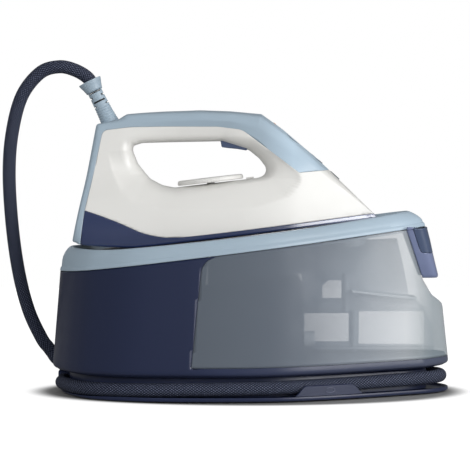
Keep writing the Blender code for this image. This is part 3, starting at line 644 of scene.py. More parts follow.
def ringAt(rear, nose, half, height, inset=0.0):
    ring = planRing(rear, nose, half, inset)
    ring[:, 0] = softMin(ring[:, 0], np.full(len(ring), nose - 1.5), 0.8)
    return np.column_stack([ring, height(ring[:, 0])])


# Foot plate, winding core, clip and tray

footPlate = {"size": (-184.5, 191.0, 111.0), "clipSpan": (40.0, 104.0), "clipTop": 15.6, "clipThick": 2.4}


def lipRise(x):
    f = np.clip((x + 184) / 70, 0, 1)
    return 0.2 + 2.0 * f * f * (3 - 2 * f)


def buildFootPlate():
    rows = []
    for inset, z, lip in [(22, 1.4, 0), (3, 1.4, 0), (1.2, 1.55, 0), (0.4, 2.0, 0.05), (0.1, 2.6, 0.3), (0.1, 3.0, 0.7), (0.4, 3.15, 0.93),
                          (0.8, 3.2, 1), (1.4, 3.2, 0.98), (1.8, 3.1, 0.8), (2.2, 3.05, 0.35), (3.2, 3.0, 0.0), (30, 3.0, 0)]:
        ring = planRing(*footPlate["size"], inset=inset)
        rows.append(np.column_stack([ring, z + lip * lipRise(ring[:, 0])]))
    loft("foot_plate_moulding", rows, navy, "base", ["foot_plate"])
    rows = []
    for inset, z in [(0.6, 3.7), (0, 4.4), (0, 20), (0.6, 22.2), (2, 23.1)]:
        ring = planRing(-176.4, 170, 92, inset=inset)
        rows.append(np.column_stack([ring, np.full(len(ring), z)]))
    loft("winding_core_moulding", rows, navy, "base", ["winding_core"])


def buildClip():
    outer = planRing(*footPlate["size"], count=420)
    inner = offsetRing(outer, footPlate["clipThick"])
    low, high = footPlate["clipSpan"]
    picked = [i for i in range(len(outer)) if outer[i, 1] < 0 and low <= outer[i, 0] <= high]
    rows = []
    for i in picked:
        f = min(1.0, min(outer[i, 0] - low, high - outer[i, 0]) / 11.0)
        top = 6.4 + (footPlate["clipTop"] - 6.4) * (0.5 - 0.5 * math.cos(math.pi * f)) ** 0.8
        p, q = outer[i], inner[i]
        middle = (p + q) / 2
        round_ = min(0.7, (top - 5.75) * 0.3)
        rows.append(np.array([(*p, 5.75), (*(p * 1.0), top - round_), (*(p * 0.75 + q * 0.25), top - 0.2 * round_), (*middle, top),
                              (*(p * 0.25 + q * 0.75), top - 0.2 * round_), (*q, top - round_), (*q, 5.75)]))
    clip = loft("hose_clip_tab", rows, navy, "base", ["hose_clip"])
    centre = outer[picked[len(picked) // 2]]
    along = outer[picked[-1]] - outer[picked[0]]
    along /= np.linalg.norm(along)
    outward = np.array([along[1], -along[0]])
    mark = []  # a generic open loop, raised on the tab
    for k in range(25):
        a = math.radians(-150 + 300 * k / 24)
        s, h = 4.6 * math.cos(a), 2.1 * math.sin(a)
        s = math.copysign(abs(s) ** 0.8 * 4.6**0.2, s)
        p = centre + along * s + outward * (0.15 - 0.0015 * s * s)
        mark.append((*p, 10.6 + h))
    wireOf("clip_mark", mark, 0.32, paleNavy, "base")
    return clip


def wireOf(name, points, radius, material, body):
    curve = bpy.data.curves.new(name, "CURVE")
    curve.dimensions = "3D"
    curve.bevel_depth = radius * mm
    curve.bevel_resolution = 3
    curve.use_fill_caps = True
    spline = curve.splines.new("POLY")
    spline.points.add(len(points) - 1)
    for slot, p in zip(spline.points, points):
        slot.co = (*(c * mm for c in p), 1)
    curve.materials.append(material)
    wire = bpy.data.objects.new(name, curve)
    bpy.context.scene.collection.objects.link(wire)
    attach(wire, body)
    return wire


paleNavy = mouldedPlastic("pale_navy_plastic", (0.10, 0.115, 0.18), 0.4, 0.1, 0.05)


def buildTray():
    low, wall = base["trayLow"], 3.0
    rows = [hullRing(trayLevel(low + z), inset=inset) for inset, z in
            [(12, 0), (7, 0.05), (4.6, 0.7), (wall + 0.1, 1.8), (wall, 2.1), (wall, 7.3), (wall + 2.4, 7.3), (wall + 2.6, 6.3), (9, 3.2), (14, 3.2)]]
    loft("tray_moulding", rows, navy, "base", ["bottom_tray"])


# Housing and tank share one hull that the tank's rear edge divides

tank = {
    "edgeX": -47.6, "edgeZ": 119.2, "edgeLean": 0.103, "corner": 14.0, "gap": 0.28, "wall": 2.4,
    "spineHalf": 62.0, "spineNose": 47.0, "pocketGap": 0.9,
}


def tankOutline():
    seam = trayLevel(base["seam"])
    low = tank["edgeX"] - tank["edgeLean"] * (tank["edgeZ"] - base["seam"])
    outline = [*((x, float(seam(x))) for x in (260, 190, 130, 80, 40, -10, low)), (tank["edgeX"], tank["edgeZ"])]
    for k in range(1, 19):
        a = math.radians(180 - 5 * k)
        r = tank["corner"]
        outline.append((tank["edgeX"] + r + r * math.cos(a), tank["edgeZ"] - 1 + (r + 2) * math.sin(a)))
    return outline + [(-20, 190), (260, 190)]


def hullSkin(low, high, steps=46, inset=0.0):
    rows = [hullRing(lambda x, f=k / (steps - 1): low(x) + f * (high(x) - low(x)), inset=inset) for k in range(steps)]
    return np.concatenate(rows), rowFaces(steps, len(unitRing))


def buildHousing():
    low, high = trayLevel(base["seam"]), deckPlane(0.5)
    skirt = [(3.2, -7.6), (2.0, -7.2), (1.1, -6.5), (0.5, -5.6), (0.15, -4.6), (0, -3.4), (0, -1.7), (0, -0.7)]
    rows = [hullRing(trayLevel(base["seam"] + z), inset=inset) for inset, z in skirt]
    rows += [hullRing(lambda x, f=k / 45: low(x) + f * (high(x) - low(x))) for k in range(46)]
    points, faces = np.concatenate(rows), rowFaces(len(rows), len(unitRing))
    points, tankFaces, rest = splitMesh(points, faces, signed(tankOutline(), points[:, [0, 2]]) - tank["gap"])
    cutPoints, _, housingFaces = splitMesh(points, rest, signed(tankOutline(), points[:, [0, 2]]))
    p, f = onlyUsed(cutPoints, housingFaces)
    shell = faceOutBy(makeMesh("housing_moulding", p, f, housingNavy), (0, 0, 80))
    # The housing's cut rim takes black plastic: painted shade in the gap round the tank.
    shell.data.materials.append(blackPlastic)
    thicken(shell, base["wall"]).modifiers["wall"].material_offset_rim = 1
    settle(shell, "base", ["main_housing"])
    p, f = onlyUsed(points, tankFaces)
    wall = faceOutBy(makeMesh("tank_outer_wall", p, f, tankClear), (60, 0, 80))
    settle(thicken(wall, tank["wall"], True), "tank", ["tank_body"])
    rows = [hullRing(lambda x, f=k / 45: low(x) - 3 + f * (high(x) - low(x)), inset=2.8) for k in range(46)]
    points = np.concatenate(rows)
    points, _, rest = splitMesh(points, rowFaces(46, len(unitRing)), signed(tankOutline(), points[:, [0, 2]]) - 3.5)
    points, band, _ = splitMesh(points, rest, signed(tankOutline(), points[:, [0, 2]]) + 3.5)
    p, f = onlyUsed(points, band)
    settle(thicken(faceOutBy(makeMesh("tank_rebate", p, f, navy), (0, 0, 80)), 1.2), "base")


def faceOutBy(thing, centre):
    """Turns a surface so that it faces away from a point inside it."""
    mesh = thing.data
    centre = Vector(centre) * mm
    total = sum((face.center - centre).dot(face.normal) * face.area for face in mesh.polygons)
    if total < 0:
        mesh.flip_normals()
    return thing


def spineTop(x, lift=0.0):
    return 105.0 + 0.122 * x + lift


def spineRows(gap, front, rear=-60.0):
    half = tank["spineHalf"] + gap
    rows = []
    for x, shrink in [(rear, 0), (front - 4, 0), (front - 1.2, 0.6), (front, 2.2)]:
        top = spineTop(x, gap) - shrink
        r = 7.0
        foot = 36.3 if gap else 28.0
        ring = [(x, -half + shrink, foot)]
        for k in range(7):
            a = math.radians(180 - 15 * k)
            ring.append((x, -half + shrink + r + r * math.cos(a), top - r + r * math.sin(a)))
        for k in range(7):
            a = math.radians(90 - 15 * k)
            ring.append((x, half - shrink - r + r * math.cos(a), top - r + r * math.sin(a)))
        ring.append((x, half - shrink, foot))
        rows.append(np.array(ring))
    return rows


def buildSpine():
    rows = spineRows(0, tank["spineNose"])
    loft("housing_spine", rows, navy, "base", ["main_housing"])
    rows = spineRows(tank["pocketGap"], tank["spineNose"] + 1.2, rear=-44.0)
    size = len(rows[0])
    points = np.concatenate(rows)
    faces = rowFaces(len(rows), size, closed=False) + [tuple(range((len(rows) - 1) * size, len(rows) * size))]
    pocket = faceOutBy(makeMesh("tank_pocket_wall", points, faces, pocketClear), (0, 0, 70))
    settle(pocket, "tank", ["tank_body"])


def boxPiece(name, size, centre, material, body, bevel, nodes=(), turn=0.0):
    bpy.ops.mesh.primitive_cube_add(size=1)
    thing = bpy.context.object
    thing.name = name
    for v in thing.data.vertices:
        p = Vector((v.co.x * size[0], v.co.y * size[1], v.co.z * size[2]))
        c, s = math.cos(turn), math.sin(turn)
        v.co = Vector((p.x * c + p.z * s + centre[0], p.y + centre[1], -p.x * s + p.z * c + centre[2])) * mm
    thing.data.materials.append(material)
    soften = thing.modifiers.new("edges", "BEVEL")
    soften.width = bevel * mm
    soften.segments = 3
    thing.data.shade_smooth()
    thing.data.set_sharp_from_angle(angle=math.radians(38))
    return settle(thing, body, nodes)


def buildTankInside():
    floor = hullRing(level(36.6), inset=tank["wall"] + 0.1)
    rear = tank["edgeX"] - tank["edgeLean"] * (tank["edgeZ"] - 36) + 1.5
    half = tank["spineHalf"] + 2.6
    outline = [p for p in floor if p[0] > rear]
    right = sorted([p for p in outline if p[1] <= 0], key=lambda p: p[0])
    left = sorted([p for p in outline if p[1] > 0], key=lambda p: -p[0])
    loop = [*right, *left, (rear, half, 0), (tank["spineNose"] + 2.6, half, 0), (tank["spineNose"] + 2.6, -half, 0), (rear, -half, 0)]
    flat = np.array([(p[0], p[1]) for p in loop])
    low = np.column_stack([flat, np.full(len(flat), 35.6)])
    high = np.column_stack([flat, np.full(len(flat), 37.6)])
    loft("tank_floor", [low, high], tankClear, "tank", ["tank_body"])
    lid = hullRing(deckPlane(1.9), inset=tank["wall"] + 0.2)
    rear = tank["edgeX"] + tank["corner"] + 2
    right = sorted([p for p in lid if p[1] <= 0 and p[0] > rear], key=lambda p: p[0])
    left = sorted([p for p in lid if p[1] > 0 and p[0] > rear], key=lambda p: -p[0])
    flat = np.array([(p[0], p[1]) for p in [*right, *left]])
    rows = [np.column_stack([flat, deckPlane(drop)(flat[:, 0])]) for drop in (3.0, 0.9)]
    loft("tank_lid_plate", rows, tankClear, "tank", ["tank_lid"])


# Deck and rest mat

deck = {"matSize": (-163, 142, 91)}


def buildDeck():
    low = deckPlane()

    def between(f):
        return lambda x: low(x) + f * (rimHeight(x) - low(x))

    rows = [
        ringAt(-156, 132, 88, matPlane(4.8)),
        ringAt(-180.5, 164.5, 101.5, low),
        ringAt(-184.6, 168.9, 104.9, deckPlane(-0.02)),
        ringAt(-185.2, 169.5, 105.3, deckPlane(-0.6)),
        ringAt(-185.0, 169.2, 105.1, deckPlane(-2.0)),
        ringAt(-184.5, 168.5, 104.7, deckPlane(-3.6)),
        ringAt(-183.7, 167.4, 104.0, deckPlane(-4.2)),
        ringAt(-183.1, 166.3, 103.6, between(0.42)),
        ringAt(-182.2, 163.8, 103.3, between(0.58)),
        ringAt(-180.4, 160.4, 102.4, between(0.74)),
        ringAt(-178.2, 157.0, 101.2, between(0.88)),
        ringAt(-176.3, 154.4, 100.1, between(0.965)),
        ringAt(-175.0, 152.8, 99.3, between(1.0)),
        ringAt(-173.6, 151.4, 98.2, between(1.005)),
        ringAt(-172.2, 150.0, 97.2, between(0.985)),
        ringAt(-170.6, 148.6, 96.1, between(0.90)),
        ringAt(-166.0, 144.6, 93.0, matPlane(0.2)),
        ringAt(-164.4, 143.2, 92.0, matPlane(1.6)),
        ringAt(-163.0, 142.0, 91.0, matPlane(2.2)),
        ringAt(-150.0, 129.0, 82.0, matPlane(2.3)),
    ]
    loft("deck_moulding", rows, deckBlue, "base", ["deck"])
    rows = []
    size = deck["matSize"]
    rows.append(ringAt(*size, matPlane(1.95), 1.4))
    rows.append(ringAt(*size, matPlane(0.5), 1.2))
    rows.append(ringAt(*size, matPlane(0.15), 1.7))
    for inset in range(3, 46, 7):
        rows.append(ringAt(*size, matPlane(0.1), inset))
        rows.append(ringAt(*size, matPlane(0.1), inset + 4.2))
        rows.append(ringAt(*size, matPlane(0.75), inset + 4.9))
        rows.append(ringAt(*size, matPlane(0.75), inset + 6.2))
    loft("rest_mat_ribbed", rows, matRubber, "base", ["rest_mat"])


# Tank handle and its release button

handle = {"rows": [(111.2, 179.4, 23.0), (112.0, 180.1, 24.4), (114.0, 180.2, 25.6), (124, 177.6, 29.2), (135, 174.8, 32.4), (148, 171.8, 35.6), (158.6, 169.0, 38.2)],
          "button": (6.4, 135.2, 3.4), "travelGap": 0.45}


def handleSkin():
    heights, fronts, halves = (np.array(c) for c in zip(*handle["rows"]))
    steps, across = 72, 121
    rows = []
    for k in range(steps):
        f = k / (steps - 1)
        z = heights[0] + (heights[-1] - heights[0]) * f
        front, half = np.interp(z, heights, fronts), np.interp(z, heights, halves)
        angle = np.linspace(-1, 1, across)
        angle = np.sign(angle) * (1 - (1 - np.abs(angle)) ** 1.6) * math.pi / 2
        y = half * np.sign(np.sin(angle)) * np.abs(np.sin(angle)) ** 0.62
        back = np.interp(z, *zip(*base["noseCut"])) - 4 * (y / 42) ** 2 + 0.4
        x = back + (front - back) * np.cos(angle) ** 0.42
        rows.append(np.column_stack([x, y, np.full(across, z)]))
    top = rows[-1].copy()
    top[:, 2] = deckPlane(0.9)(top[:, 0])
    rows[-1] = top
    return rows


def buildTankHandle():
    rows = handleSkin()
    size = len(rows[0])
    points = np.concatenate(rows)
    faces = rowFaces(len(rows), size, closed=False)
    margin, low, r = handle["button"]
    heights, fronts, _ = (np.array(c) for c in zip(*handle["rows"]))
    back = np.interp(points[:, 2], *zip(*base["noseCut"])) - 4 * (points[:, 1] / 42) ** 2
    q = np.column_stack([margin + r - (points[:, 0] - back), low + r - points[:, 2]])
    side = r - np.linalg.norm(np.maximum(q, 0), axis=1) - np.minimum(q.max(axis=1), 0)
    cutPoints, above, below = splitMesh(points, faces, side - handle["travelGap"])
    p, f = onlyUsed(cutPoints, above)
    button = faceOutBy(makeMesh("release_button_cap", p + [0.15, 0, 0], f, buttonBlue), (150, 0, 130))
    settle(thicken(button, 2.6), "tank_button", ["tank_release_button"])
    cutPoints, above, below = splitMesh(points, faces, side)
    firstBack = len(cutPoints)
    under = rows[0]
    backs = np.column_stack([np.interp(under[:, 2], *zip(*base["noseCut"])) - 4 * (under[:, 1] / 42) ** 2 + 0.4, under[:, 1], under[:, 2] + 2.5])
    cutPoints = np.concatenate([cutPoints, backs])
    below += [(i + 1, i, firstBack + i, firstBack + i + 1) for i in range(size - 1)]
    p, f = onlyUsed(cutPoints, below)
    shell = faceOutBy(makeMesh("tank_handle_grip", p, f, handleBlue), (150, 0, 130))
    settle(thicken(shell, 2.4), "tank", ["tank_handle"])


buildFootPlate()
buildClip()
buildTray()
buildHousing()
buildSpine()
buildTankInside()
buildDeck()
buildTankHandle()
print("base and tank ready")

# Inside the tank: a plate with windows, two posts and two shelves


def cutPlate(name, loops, half, bevel, material, body, nodes=(), matrix=None):
    """An upright plate with holes: the first loop is its outline, in millimetres across and up."""
    curve = bpy.data.curves.new(name, "CURVE")
    curve.dimensions = "2D"
    curve.fill_mode = "BOTH"
    curve.extrude = (half - bevel) * mm
    curve.bevel_depth = bevel * mm
    curve.bevel_resolution = 3
    for loop in loops:
        spline = curve.splines.new("POLY")
        spline.points.add(len(loop) - 1)
        spline.use_cyclic_u = True
        for slot, p in zip(spline.points, loop):
            slot.co = (p[0] * mm, p[1] * mm, 0, 1)
    curve.offset = -bevel * mm
    curve.materials.append(material)
    thing = bpy.data.objects.new(name, curve)
    bpy.context.scene.collection.objects.link(thing)
    upright = Matrix.Rotation(math.radians(90), 4, "X")
    thing.matrix_world = (matrix or Matrix.Identity(4)) @ upright
    return settle(thing, body, nodes)


def roundLoop(points, radius, closed=True, steps=6):
    points = [Vector(p) for p in points]
    size = len(points)
    line = []
    for i, corner in enumerate(points):
        if not closed and i in (0, size - 1):
            line.append(tuple(corner))
            continue
        before, after = points[i - 1] - corner, points[(i + 1) % size] - corner
        turn = before.angle(after, math.pi)
        want = radius[i] if isinstance(radius, (list, tuple)) else radius
        reach = min(want / max(math.tan(turn / 2), 0.01), 0.48 * before.length, 0.48 * after.length)
        a, b = corner + before.normalized() * reach, corner + after.normalized() * reach
        for k in range(steps + 1):
            t = k / steps
            line.append(tuple(a * (1 - t) ** 2 + corner * 2 * t * (1 - t) + b * t * t))
    return line


def frameBox(x0, z0, x1, z1, r=1.5):
    return roundLoop([(x0, z0), (x1, z0), (x1, z1), (x0, z1)], r)


def buildBaffle():
    outline = roundLoop([(49, 40), (49, 114.4), (-42, 103.4), (-42, 128.5), (-34, 134), (110, 146.8), (141, 148.5), (148, 118), (153, 91), (158, 90), (168, 82), (176, 60), (177, 40)], 2)
    windows = [roundLoop([(68.8, 90.2), (87.4, 90.2), (87.4, 107.6), (74.5, 107.6), (68.8, 102.5)], 1.2),
               frameBox(51.4, 48, 94.5, 75.6), frameBox(104.2, 45.6, 168, 77.5)]
    cutPlate("tank_divider", [outline, *windows], 1.5, 0.35, innerFrost, "tank", ["tank_baffle"])
    boxPiece("divider_shelf_low", (118, 26, 2.6), (117, 0, 42.4), innerFrost, "tank", 0.6)
    # The high shelf takes near-white plastic: a painted highlight along its ledge.
    boxPiece("divider_shelf_high", (63, 34, 2.4), (128, 0, 94.2), innerPale, "tank", 0.6, turn=math.radians(6.3))
    for name, x, low, high, r in (("divider_post_front", 99.4, 38, 79, 3.9), ("divider_post_rear", 91.6, 77, 114.5, 3.6)):
        loftPost(name, x, low, high, r)


def loftPost(name, x, low, high, r):
    turn = np.linspace(0, 2 * math.pi, 40, endpoint=False)
    rows = []
    for z, k in [(low, 0.8), (low + 0.6, 1), (high - 0.6, 1), (high, 0.85)]:
        rows.append(np.column_stack([x + r * k * np.cos(turn), r * k * np.sin(turn), np.full(40, z)]))
    loft(name, rows, innerFrost, "tank", [])


buildBaffle()
print("tank inside ready")

# The iron. Its own frame runs u forward, v across and h up from the sole

iron = {
    "tilt": math.atan(0.117), "rest": 151.1, "half": 54.0, "rear": -171.0, "long": 295.6, "skin": 1.4, "seam": 0.22, "softness": 4.0,
    "plan": [(0, .80), (.03, .90), (.10, .97), (.25, 1), (.40, .97), (.55, .86), (.70, .66), (.82, .43), (.92, .22), (.98, .09), (1, .02)],
    "waist": [(0, 52), (8, 54), (20, 52.5), (35, 47), (52, 38.5), (68, 28), (82, 22), (100, 20), (115, 19), (131, 17)],
    "outer": [(-135.9, 124.5), (-124, 125.3), (-115, 126.3), (-105.9, 130.6), (-88, 130), (-69.4, 129), (-35.5, 126.3), (-6.7, 121.9), (23.1, 115.5),
              (41, 99.0), (57, 81.7), (67.3, 70.8), (82.8, 53), (99, 34), (112, 18), (121.5, 6.5), (123.6, 3),
              (60, 3), (-60, 3), (-95, 3), (-112, 3.4), (-138, 7.0), (-150, 9.2), (-160, 11.2), (-171, 15.0), (-153.4, 69.2)],
    "outerRound": [3.5, 30, 6, 5, 60, 60, 80, 60, 1.5, 60, 60, 60, 8, 60, 60, 6, 0.6, 1, 1, 30, 30, 30, 30, 30, 2.5, 1],
    "gap": [(-103.6, 99.7), (-94.7, 101.3), (-60, 98.1), (-18, 94), (7, 82.6), (16.2, 73.2), (21.4, 64.4), (21.4, 60.1), (18.5, 56.1), (12.8, 54.6),
            (-69.1, 54.6), (-80.6, 58.4), (-91.3, 66), (-101.2, 81.8), (-104.9, 95.3)],
    "coverEdge": [(-165, -30), (-162.6, 12), (-154.9, 42.9), (-130.2, 117.4), (-104, 117.6), (-70.4, 114.2), (-20.9, 108.3), (3, 102.5), (29.2, 77.4), (52.2, 55.4)],
    "coverRound": [0, 60, 90, 7, 90, 90, 60, 18, 90, 0],
    "shieldEdge": [(-180, 51.6), (-153.7, 43.1), (-124.9, 29.1), (-103.6, 16.7), (-87.1, 10.8), (-74.7, 8.8), (-39.1, 7.4), (140, 7.6)],
    "dish": [(-128, 96), (-125.2, 77.7), (-118.8, 57.9), (-105.9, 45.9), (-85.2, 37.7), (-33.8, 28.9), (4.9, 27.2), (34.5, 34.2), (51.8, 46.8),
             (51.5, 55), (29.2, 77.4), (13.1, 92.7), (1.7, 102), (-20.9, 108.3), (-70.4, 114.2), (-106.4, 117.4), (-122, 114)],
    "dishDepth": 11.0,
}
stations = [  # inner point, outer point, count to the next, fillets: inner high, inner deep, outer high, outer deep, crease, crown
    ((-103.6, 99.7), (-135.9, 124.5), 46, 12, 13, 4, 4, 0.0, 0.3),
    ((-60, 98.1), (-55, 128), 36, 14, 15, 8, 9, 0.42, 1.2),
    ((-18, 94), (-6.7, 121.9), 28, 14, 15, 8, 9, 0.42, 1.4),
    ((7, 82.6), (23.1, 115.5), 50, 14, 15, 15, 9, 0.10, 2.4),
    ((21.4, 62.2), (82.8, 53), 44, 11, 13, 12, 8, 0.0, 2.0),
    ((12.8, 54.6), (123.2, 3.5), 74, 9, 10, 1.5, 1, 0.0, 0.3),
    ((-69.1, 54.6), (-60, 3), 54, 9, 9, 0, 0, 0.0, 0.0),
    ((-91.3, 66), (-169, 13.2), 36, 10, 10, 3, 4, 0.0, 0.8),
    ((-101.2, 81.8), (-153.4, 69.2), 34, 11, 12, 3.5, 4, 0.0, 0.8),
]
cosTilt, sinTilt = math.cos(iron["tilt"]), math.sin(iron["tilt"])


def toIron(p):
    p = np.atleast_2d(np.asarray(p, float))
    return np.column_stack([p[:, 0] * cosTilt - p[:, 2] * sinTilt, p[:, 1], iron["rest"] + p[:, 0] * sinTilt + p[:, 2] * cosTilt])


planTable, waistTable = smoothTable(iron["plan"]), smoothTable(iron["waist"])


def sectionHalf(p):
    plan = np.interp((p[:, 0] - iron["rear"]) / iron["long"], *planTable) * iron["half"]
    return softMin(plan, np.interp(p[:, 1], *waistTable), iron["softness"]) + 0.2 * np.clip(7.5 - p[:, 1], 0, 5)


def stationLine(loop, keys, counts):
    """Points round a loop with a set count between each key and the next."""
    loop = evenLine([*loop, loop[0]], 3000)[:-1]
    picks = [int(np.argmin(np.linalg.norm(loop - np.array(k), axis=1))) for k in keys]
    line = []
    for a, b, count in zip(picks, picks[1:] + [picks[0]], counts):
        b = b if b > a else b + len(loop)
        where = np.linspace(a, b, count + 1)[:-1]
        line += [loop[int(round(w)) % len(loop)] for w in where]
    return np.array(line)


def smoothAround(values, width):
    kernel = np.hanning(2 * width + 1)
    kernel /= kernel.sum()
    padded = np.concatenate([values[-width:], values, values[:width]])
    return np.convolve(padded, kernel, "valid")


def ironSkin():
    counts = [row[2] for row in stations]
    inner = stationLine(roundLoop(iron["gap"], 14), [row[0] for row in stations], counts)
    outer = stationLine(roundLoop(iron["outer"], iron["outerRound"]), [row[1] for row in stations], counts)
    total = len(inner)
    starts = np.concatenate([[0], np.cumsum(counts)])
    fillets = []
    for column in range(3, 9):
        values = [row[column] for row in stations] + [stations[0][column]]
        fillets.append(smoothAround(np.interp(np.arange(total), starts, values), 6))
    inHigh, inDeep, outHigh, outDeep, crease, crowns = fillets
    low = np.arange(total)
    bottom = (low > starts[5] + 1) & (low < starts[7] - 1)
    outHigh = np.where(bottom, 0, outHigh)
    outDeep = np.where(bottom, 0, outDeep)
    normalOut = np.roll(outer, -1, axis=0) - np.roll(outer, 1, axis=0)
    normalOut = np.column_stack([-normalOut[:, 1], normalOut[:, 0]]) / np.linalg.norm(normalOut, axis=1)[:, None]
    outer = outer - normalOut * np.where(bottom, 0, crowns * 0.8)[:, None]
    run = np.linalg.norm(outer - inner, axis=1)
    bends = np.radians(np.linspace(0, 90, 10))
    rings, dips, deep = [], [], []
    for bend in bends:
        rings.append(np.minimum(inHigh * (1 - math.cos(bend)) / run, 0.45))
        dips.append(("in", 1 - math.sin(bend)))
    first, last = np.minimum(inHigh / run, 0.45), 1 - np.minimum(outHigh / run, 0.45)
    for k in range(1, 26):
        rings.append(first + (last - first) * k / 26)
        dips.append(("mid", 0))
    for bend in bends[::-1]:
        rings.append(1 - np.minimum(outHigh * (1 - math.cos(bend)) / run, 0.45))
        dips.append(("out", 1 - math.sin(bend)))
    gapLine, dishLine = np.array(roundLoop(iron["gap"], 14)), np.array(roundLoop(iron["dish"], 12))
    edge = np.concatenate([outer, outer[:1]])
    points = []
    for t, (kind, dip) in zip(rings, dips):
        p = inner + (outer - inner) * t[:, None]
        half = sectionHalf(p)
        fromGap, inDish = distanceTo(gapLine, p, True), np.maximum(signed(dishLine, p), 0)
        share = inDish / np.maximum(inDish + fromGap, 1e-6)
        fade = np.clip((96 - p[:, 1]) / 24, 0, 1)
        half = half - iron["dishDepth"] * fade * (0.85 * share**0.72 + 0.15 * share * share)
        fromTop = distanceTo(edge, p)
        half = half - crease * np.clip(fromTop - 9, 0, 12) * (1 - 0.5 * np.clip((fromTop - 14) / 10, 0, 1))
        if kind == "in":
            half = half - np.minimum(inDeep, 0.8 * half) * dip
        if kind == "out":
            half = half - np.minimum(outDeep, 0.75 * half) * dip
        points.append(np.column_stack([p[:, 0], -half, p[:, 1]]))
    size = len(points)
    right = np.concatenate(points)
    left = right * [1, -1, 1]
    faces = []
    shift = len(right)
    for r in range(size - 1):
        for i in range(total):
            j = (i + 1) % total
            a, b, c, d = r * total + i, r * total + j, (r + 1) * total + j, (r + 1) * total + i
            faces += [(a, b, c, d), (shift + d, shift + c, shift + b, shift + a)]
    points = [right, left]
    used = 2 * shift
    across = 10
    for row, crown in ((0, 0 * crowns), (size - 1, crowns)):
        grid = [np.arange(row * total, (row + 1) * total)]
        edgeRight = right[row * total:(row + 1) * total]
        for k in range(1, across):
            f = k / across
            strip = edgeRight * [1, 1 - 2 * f, 1]
            rise = crown * (1 - (1 - 2 * f) ** 2) * np.clip(np.abs(edgeRight[:, 1]) / 12, 0, 1)
            strip[:, 0] += normalOut[:, 0] * rise
            strip[:, 2] += normalOut[:, 1] * rise
            points.append(strip)
            grid.append(np.arange(used, used + total))
            used += total
        grid.append(grid[0] + shift)
        for a, b in zip(grid, grid[1:]):
            for i in range(total):
                if row and bottom[i]:
                    continue
                j = (i + 1) % total
                faces.append((a[i], b[i], b[j], a[j]))
    return np.concatenate(points), faces


def coverSide(p):
    line = roundLoop(iron["coverEdge"], iron["coverRound"], closed=False)
    return signed([*line, (150, 53.2), (150, -30)], p)


def shieldSide(p):
    line = [(q[0], q[1]) for q in smoothLine([(*q, 0) for q in iron["shieldEdge"]], 6)]
    return signed([*line, (150, -40), (-190, -40)], p)


def buildIronShells():
    points, faces = ironSkin()
    seam = iron["seam"] / 2
    p, whiteSide, coverFaces = splitMesh(points, faces, coverSide(points[:, [0, 2]]) + seam)
    cover = onlyUsed(p, coverFaces)
    p, rest, _ = splitMesh(points, faces, coverSide(points[:, [0, 2]]) - seam)
    q, _, shellFaces = splitMesh(p, rest, shieldSide(p[:, [0, 2]]) + 0.08)
    shell = onlyUsed(q, shellFaces)
    q, shieldFaces, _ = splitMesh(p, rest, shieldSide(p[:, [0, 2]]) - 0.08)
    shield = onlyUsed(q, shieldFaces)
    lining = makeMesh("iron_lining", toIron(points), faces, paleBlue)
    faceOut(lining)
    faceSide(lining)
    lining.data.materials.append(gapShadeGrey)
    for face in lining.data.polygons:  # faces under the front panel take the dark grey: painted shade in the gap there
        x, z = face.center.x / mm, face.center.z / mm - iron["rest"]
        if x * cosTilt + z * sinTilt > 49 and abs(z * cosTilt - x * sinTilt - 54) < 4:
            face.material_index = 1
    inward = np.empty(len(lining.data.vertices) * 3)
    lining.data.vertices.foreach_get("normal", inward)
    spots = np.empty(len(inward))
    lining.data.vertices.foreach_get("co", spots)
    lining.data.vertices.foreach_set("co", spots - inward * 1.6 * mm)
    settle(lining, "iron")
    made = []
    for name, (skin, skinFaces), material, node in (("handle_cover_moulding", cover, coverBlue, "handle_cover"),
                                                    ("body_moulding", shell, white, "body_shell"), ("shield_moulding", shield, shieldBlue, "heat_shield")):
        thing = makeMesh(name, toIron(skin), skinFaces, material, 42)
        faceOut(thing)
        faceSide(thing)
        thing.data.shade_smooth()
        thing.data.set_sharp_from_angle(angle=math.radians(42))
        made.append(settle(thicken(thing, iron["skin"]), "iron", [node]))
    return made


def faceSide(thing):
    """Turns a skin so that its flank faces look away from the middle plane."""
    mesh = thing.data
    total = sum(face.center.y * face.normal.y * face.area for face in mesh.polygons)
    if total < 0:
        mesh.flip_normals()


buildIronShells()
print("iron shells ready")

# Controls and fittings on the iron

ironMatrix = Matrix.Translation((0, 0, iron["rest"] * mm)) @ Matrix.Rotation(-iron["tilt"], 4, "Y")


def lathe(name, centre, axis, rows, material, body, nodes=(), count=72, wave=None, holes=None, wall=0.0, sag=0.0):
    """A turned piece: rows are (along, radius). wave changes a radius by angle, holes drops faces."""
    axis = Vector(axis).normalized()
    side = axis.orthogonal().normalized() if abs(axis.y) > 0.9 else Vector((0, 1, 0)).cross(axis).normalized()
    third = axis.cross(side)
    points = []
    for t, r in rows:
        for k in range(count):
            a = 2 * math.pi * k / count
            radius = r + (wave(t, a) if wave else 0)
            spot = Vector(centre) + axis * t + (side * math.cos(a) + third * math.sin(a)) * radius
            points.append(spot - axis * sag * spot.y * spot.y)
    faces = []
    for r in range(len(rows) - 1):
        for k in range(count):
            middle = ((rows[r][0] + rows[r + 1][0]) / 2, 2 * math.pi * (k + 0.5) / count)
            if holes and holes(*middle):
                continue
            j = (k + 1) % count
            faces.append((r * count + k, r * count + j, (r + 1) * count + j, (r + 1) * count + k))
    thing = faceOut(makeMesh(name, points, faces, material))
    if wall:
        thicken(thing, wall)
    return settle(thing, body, nodes)


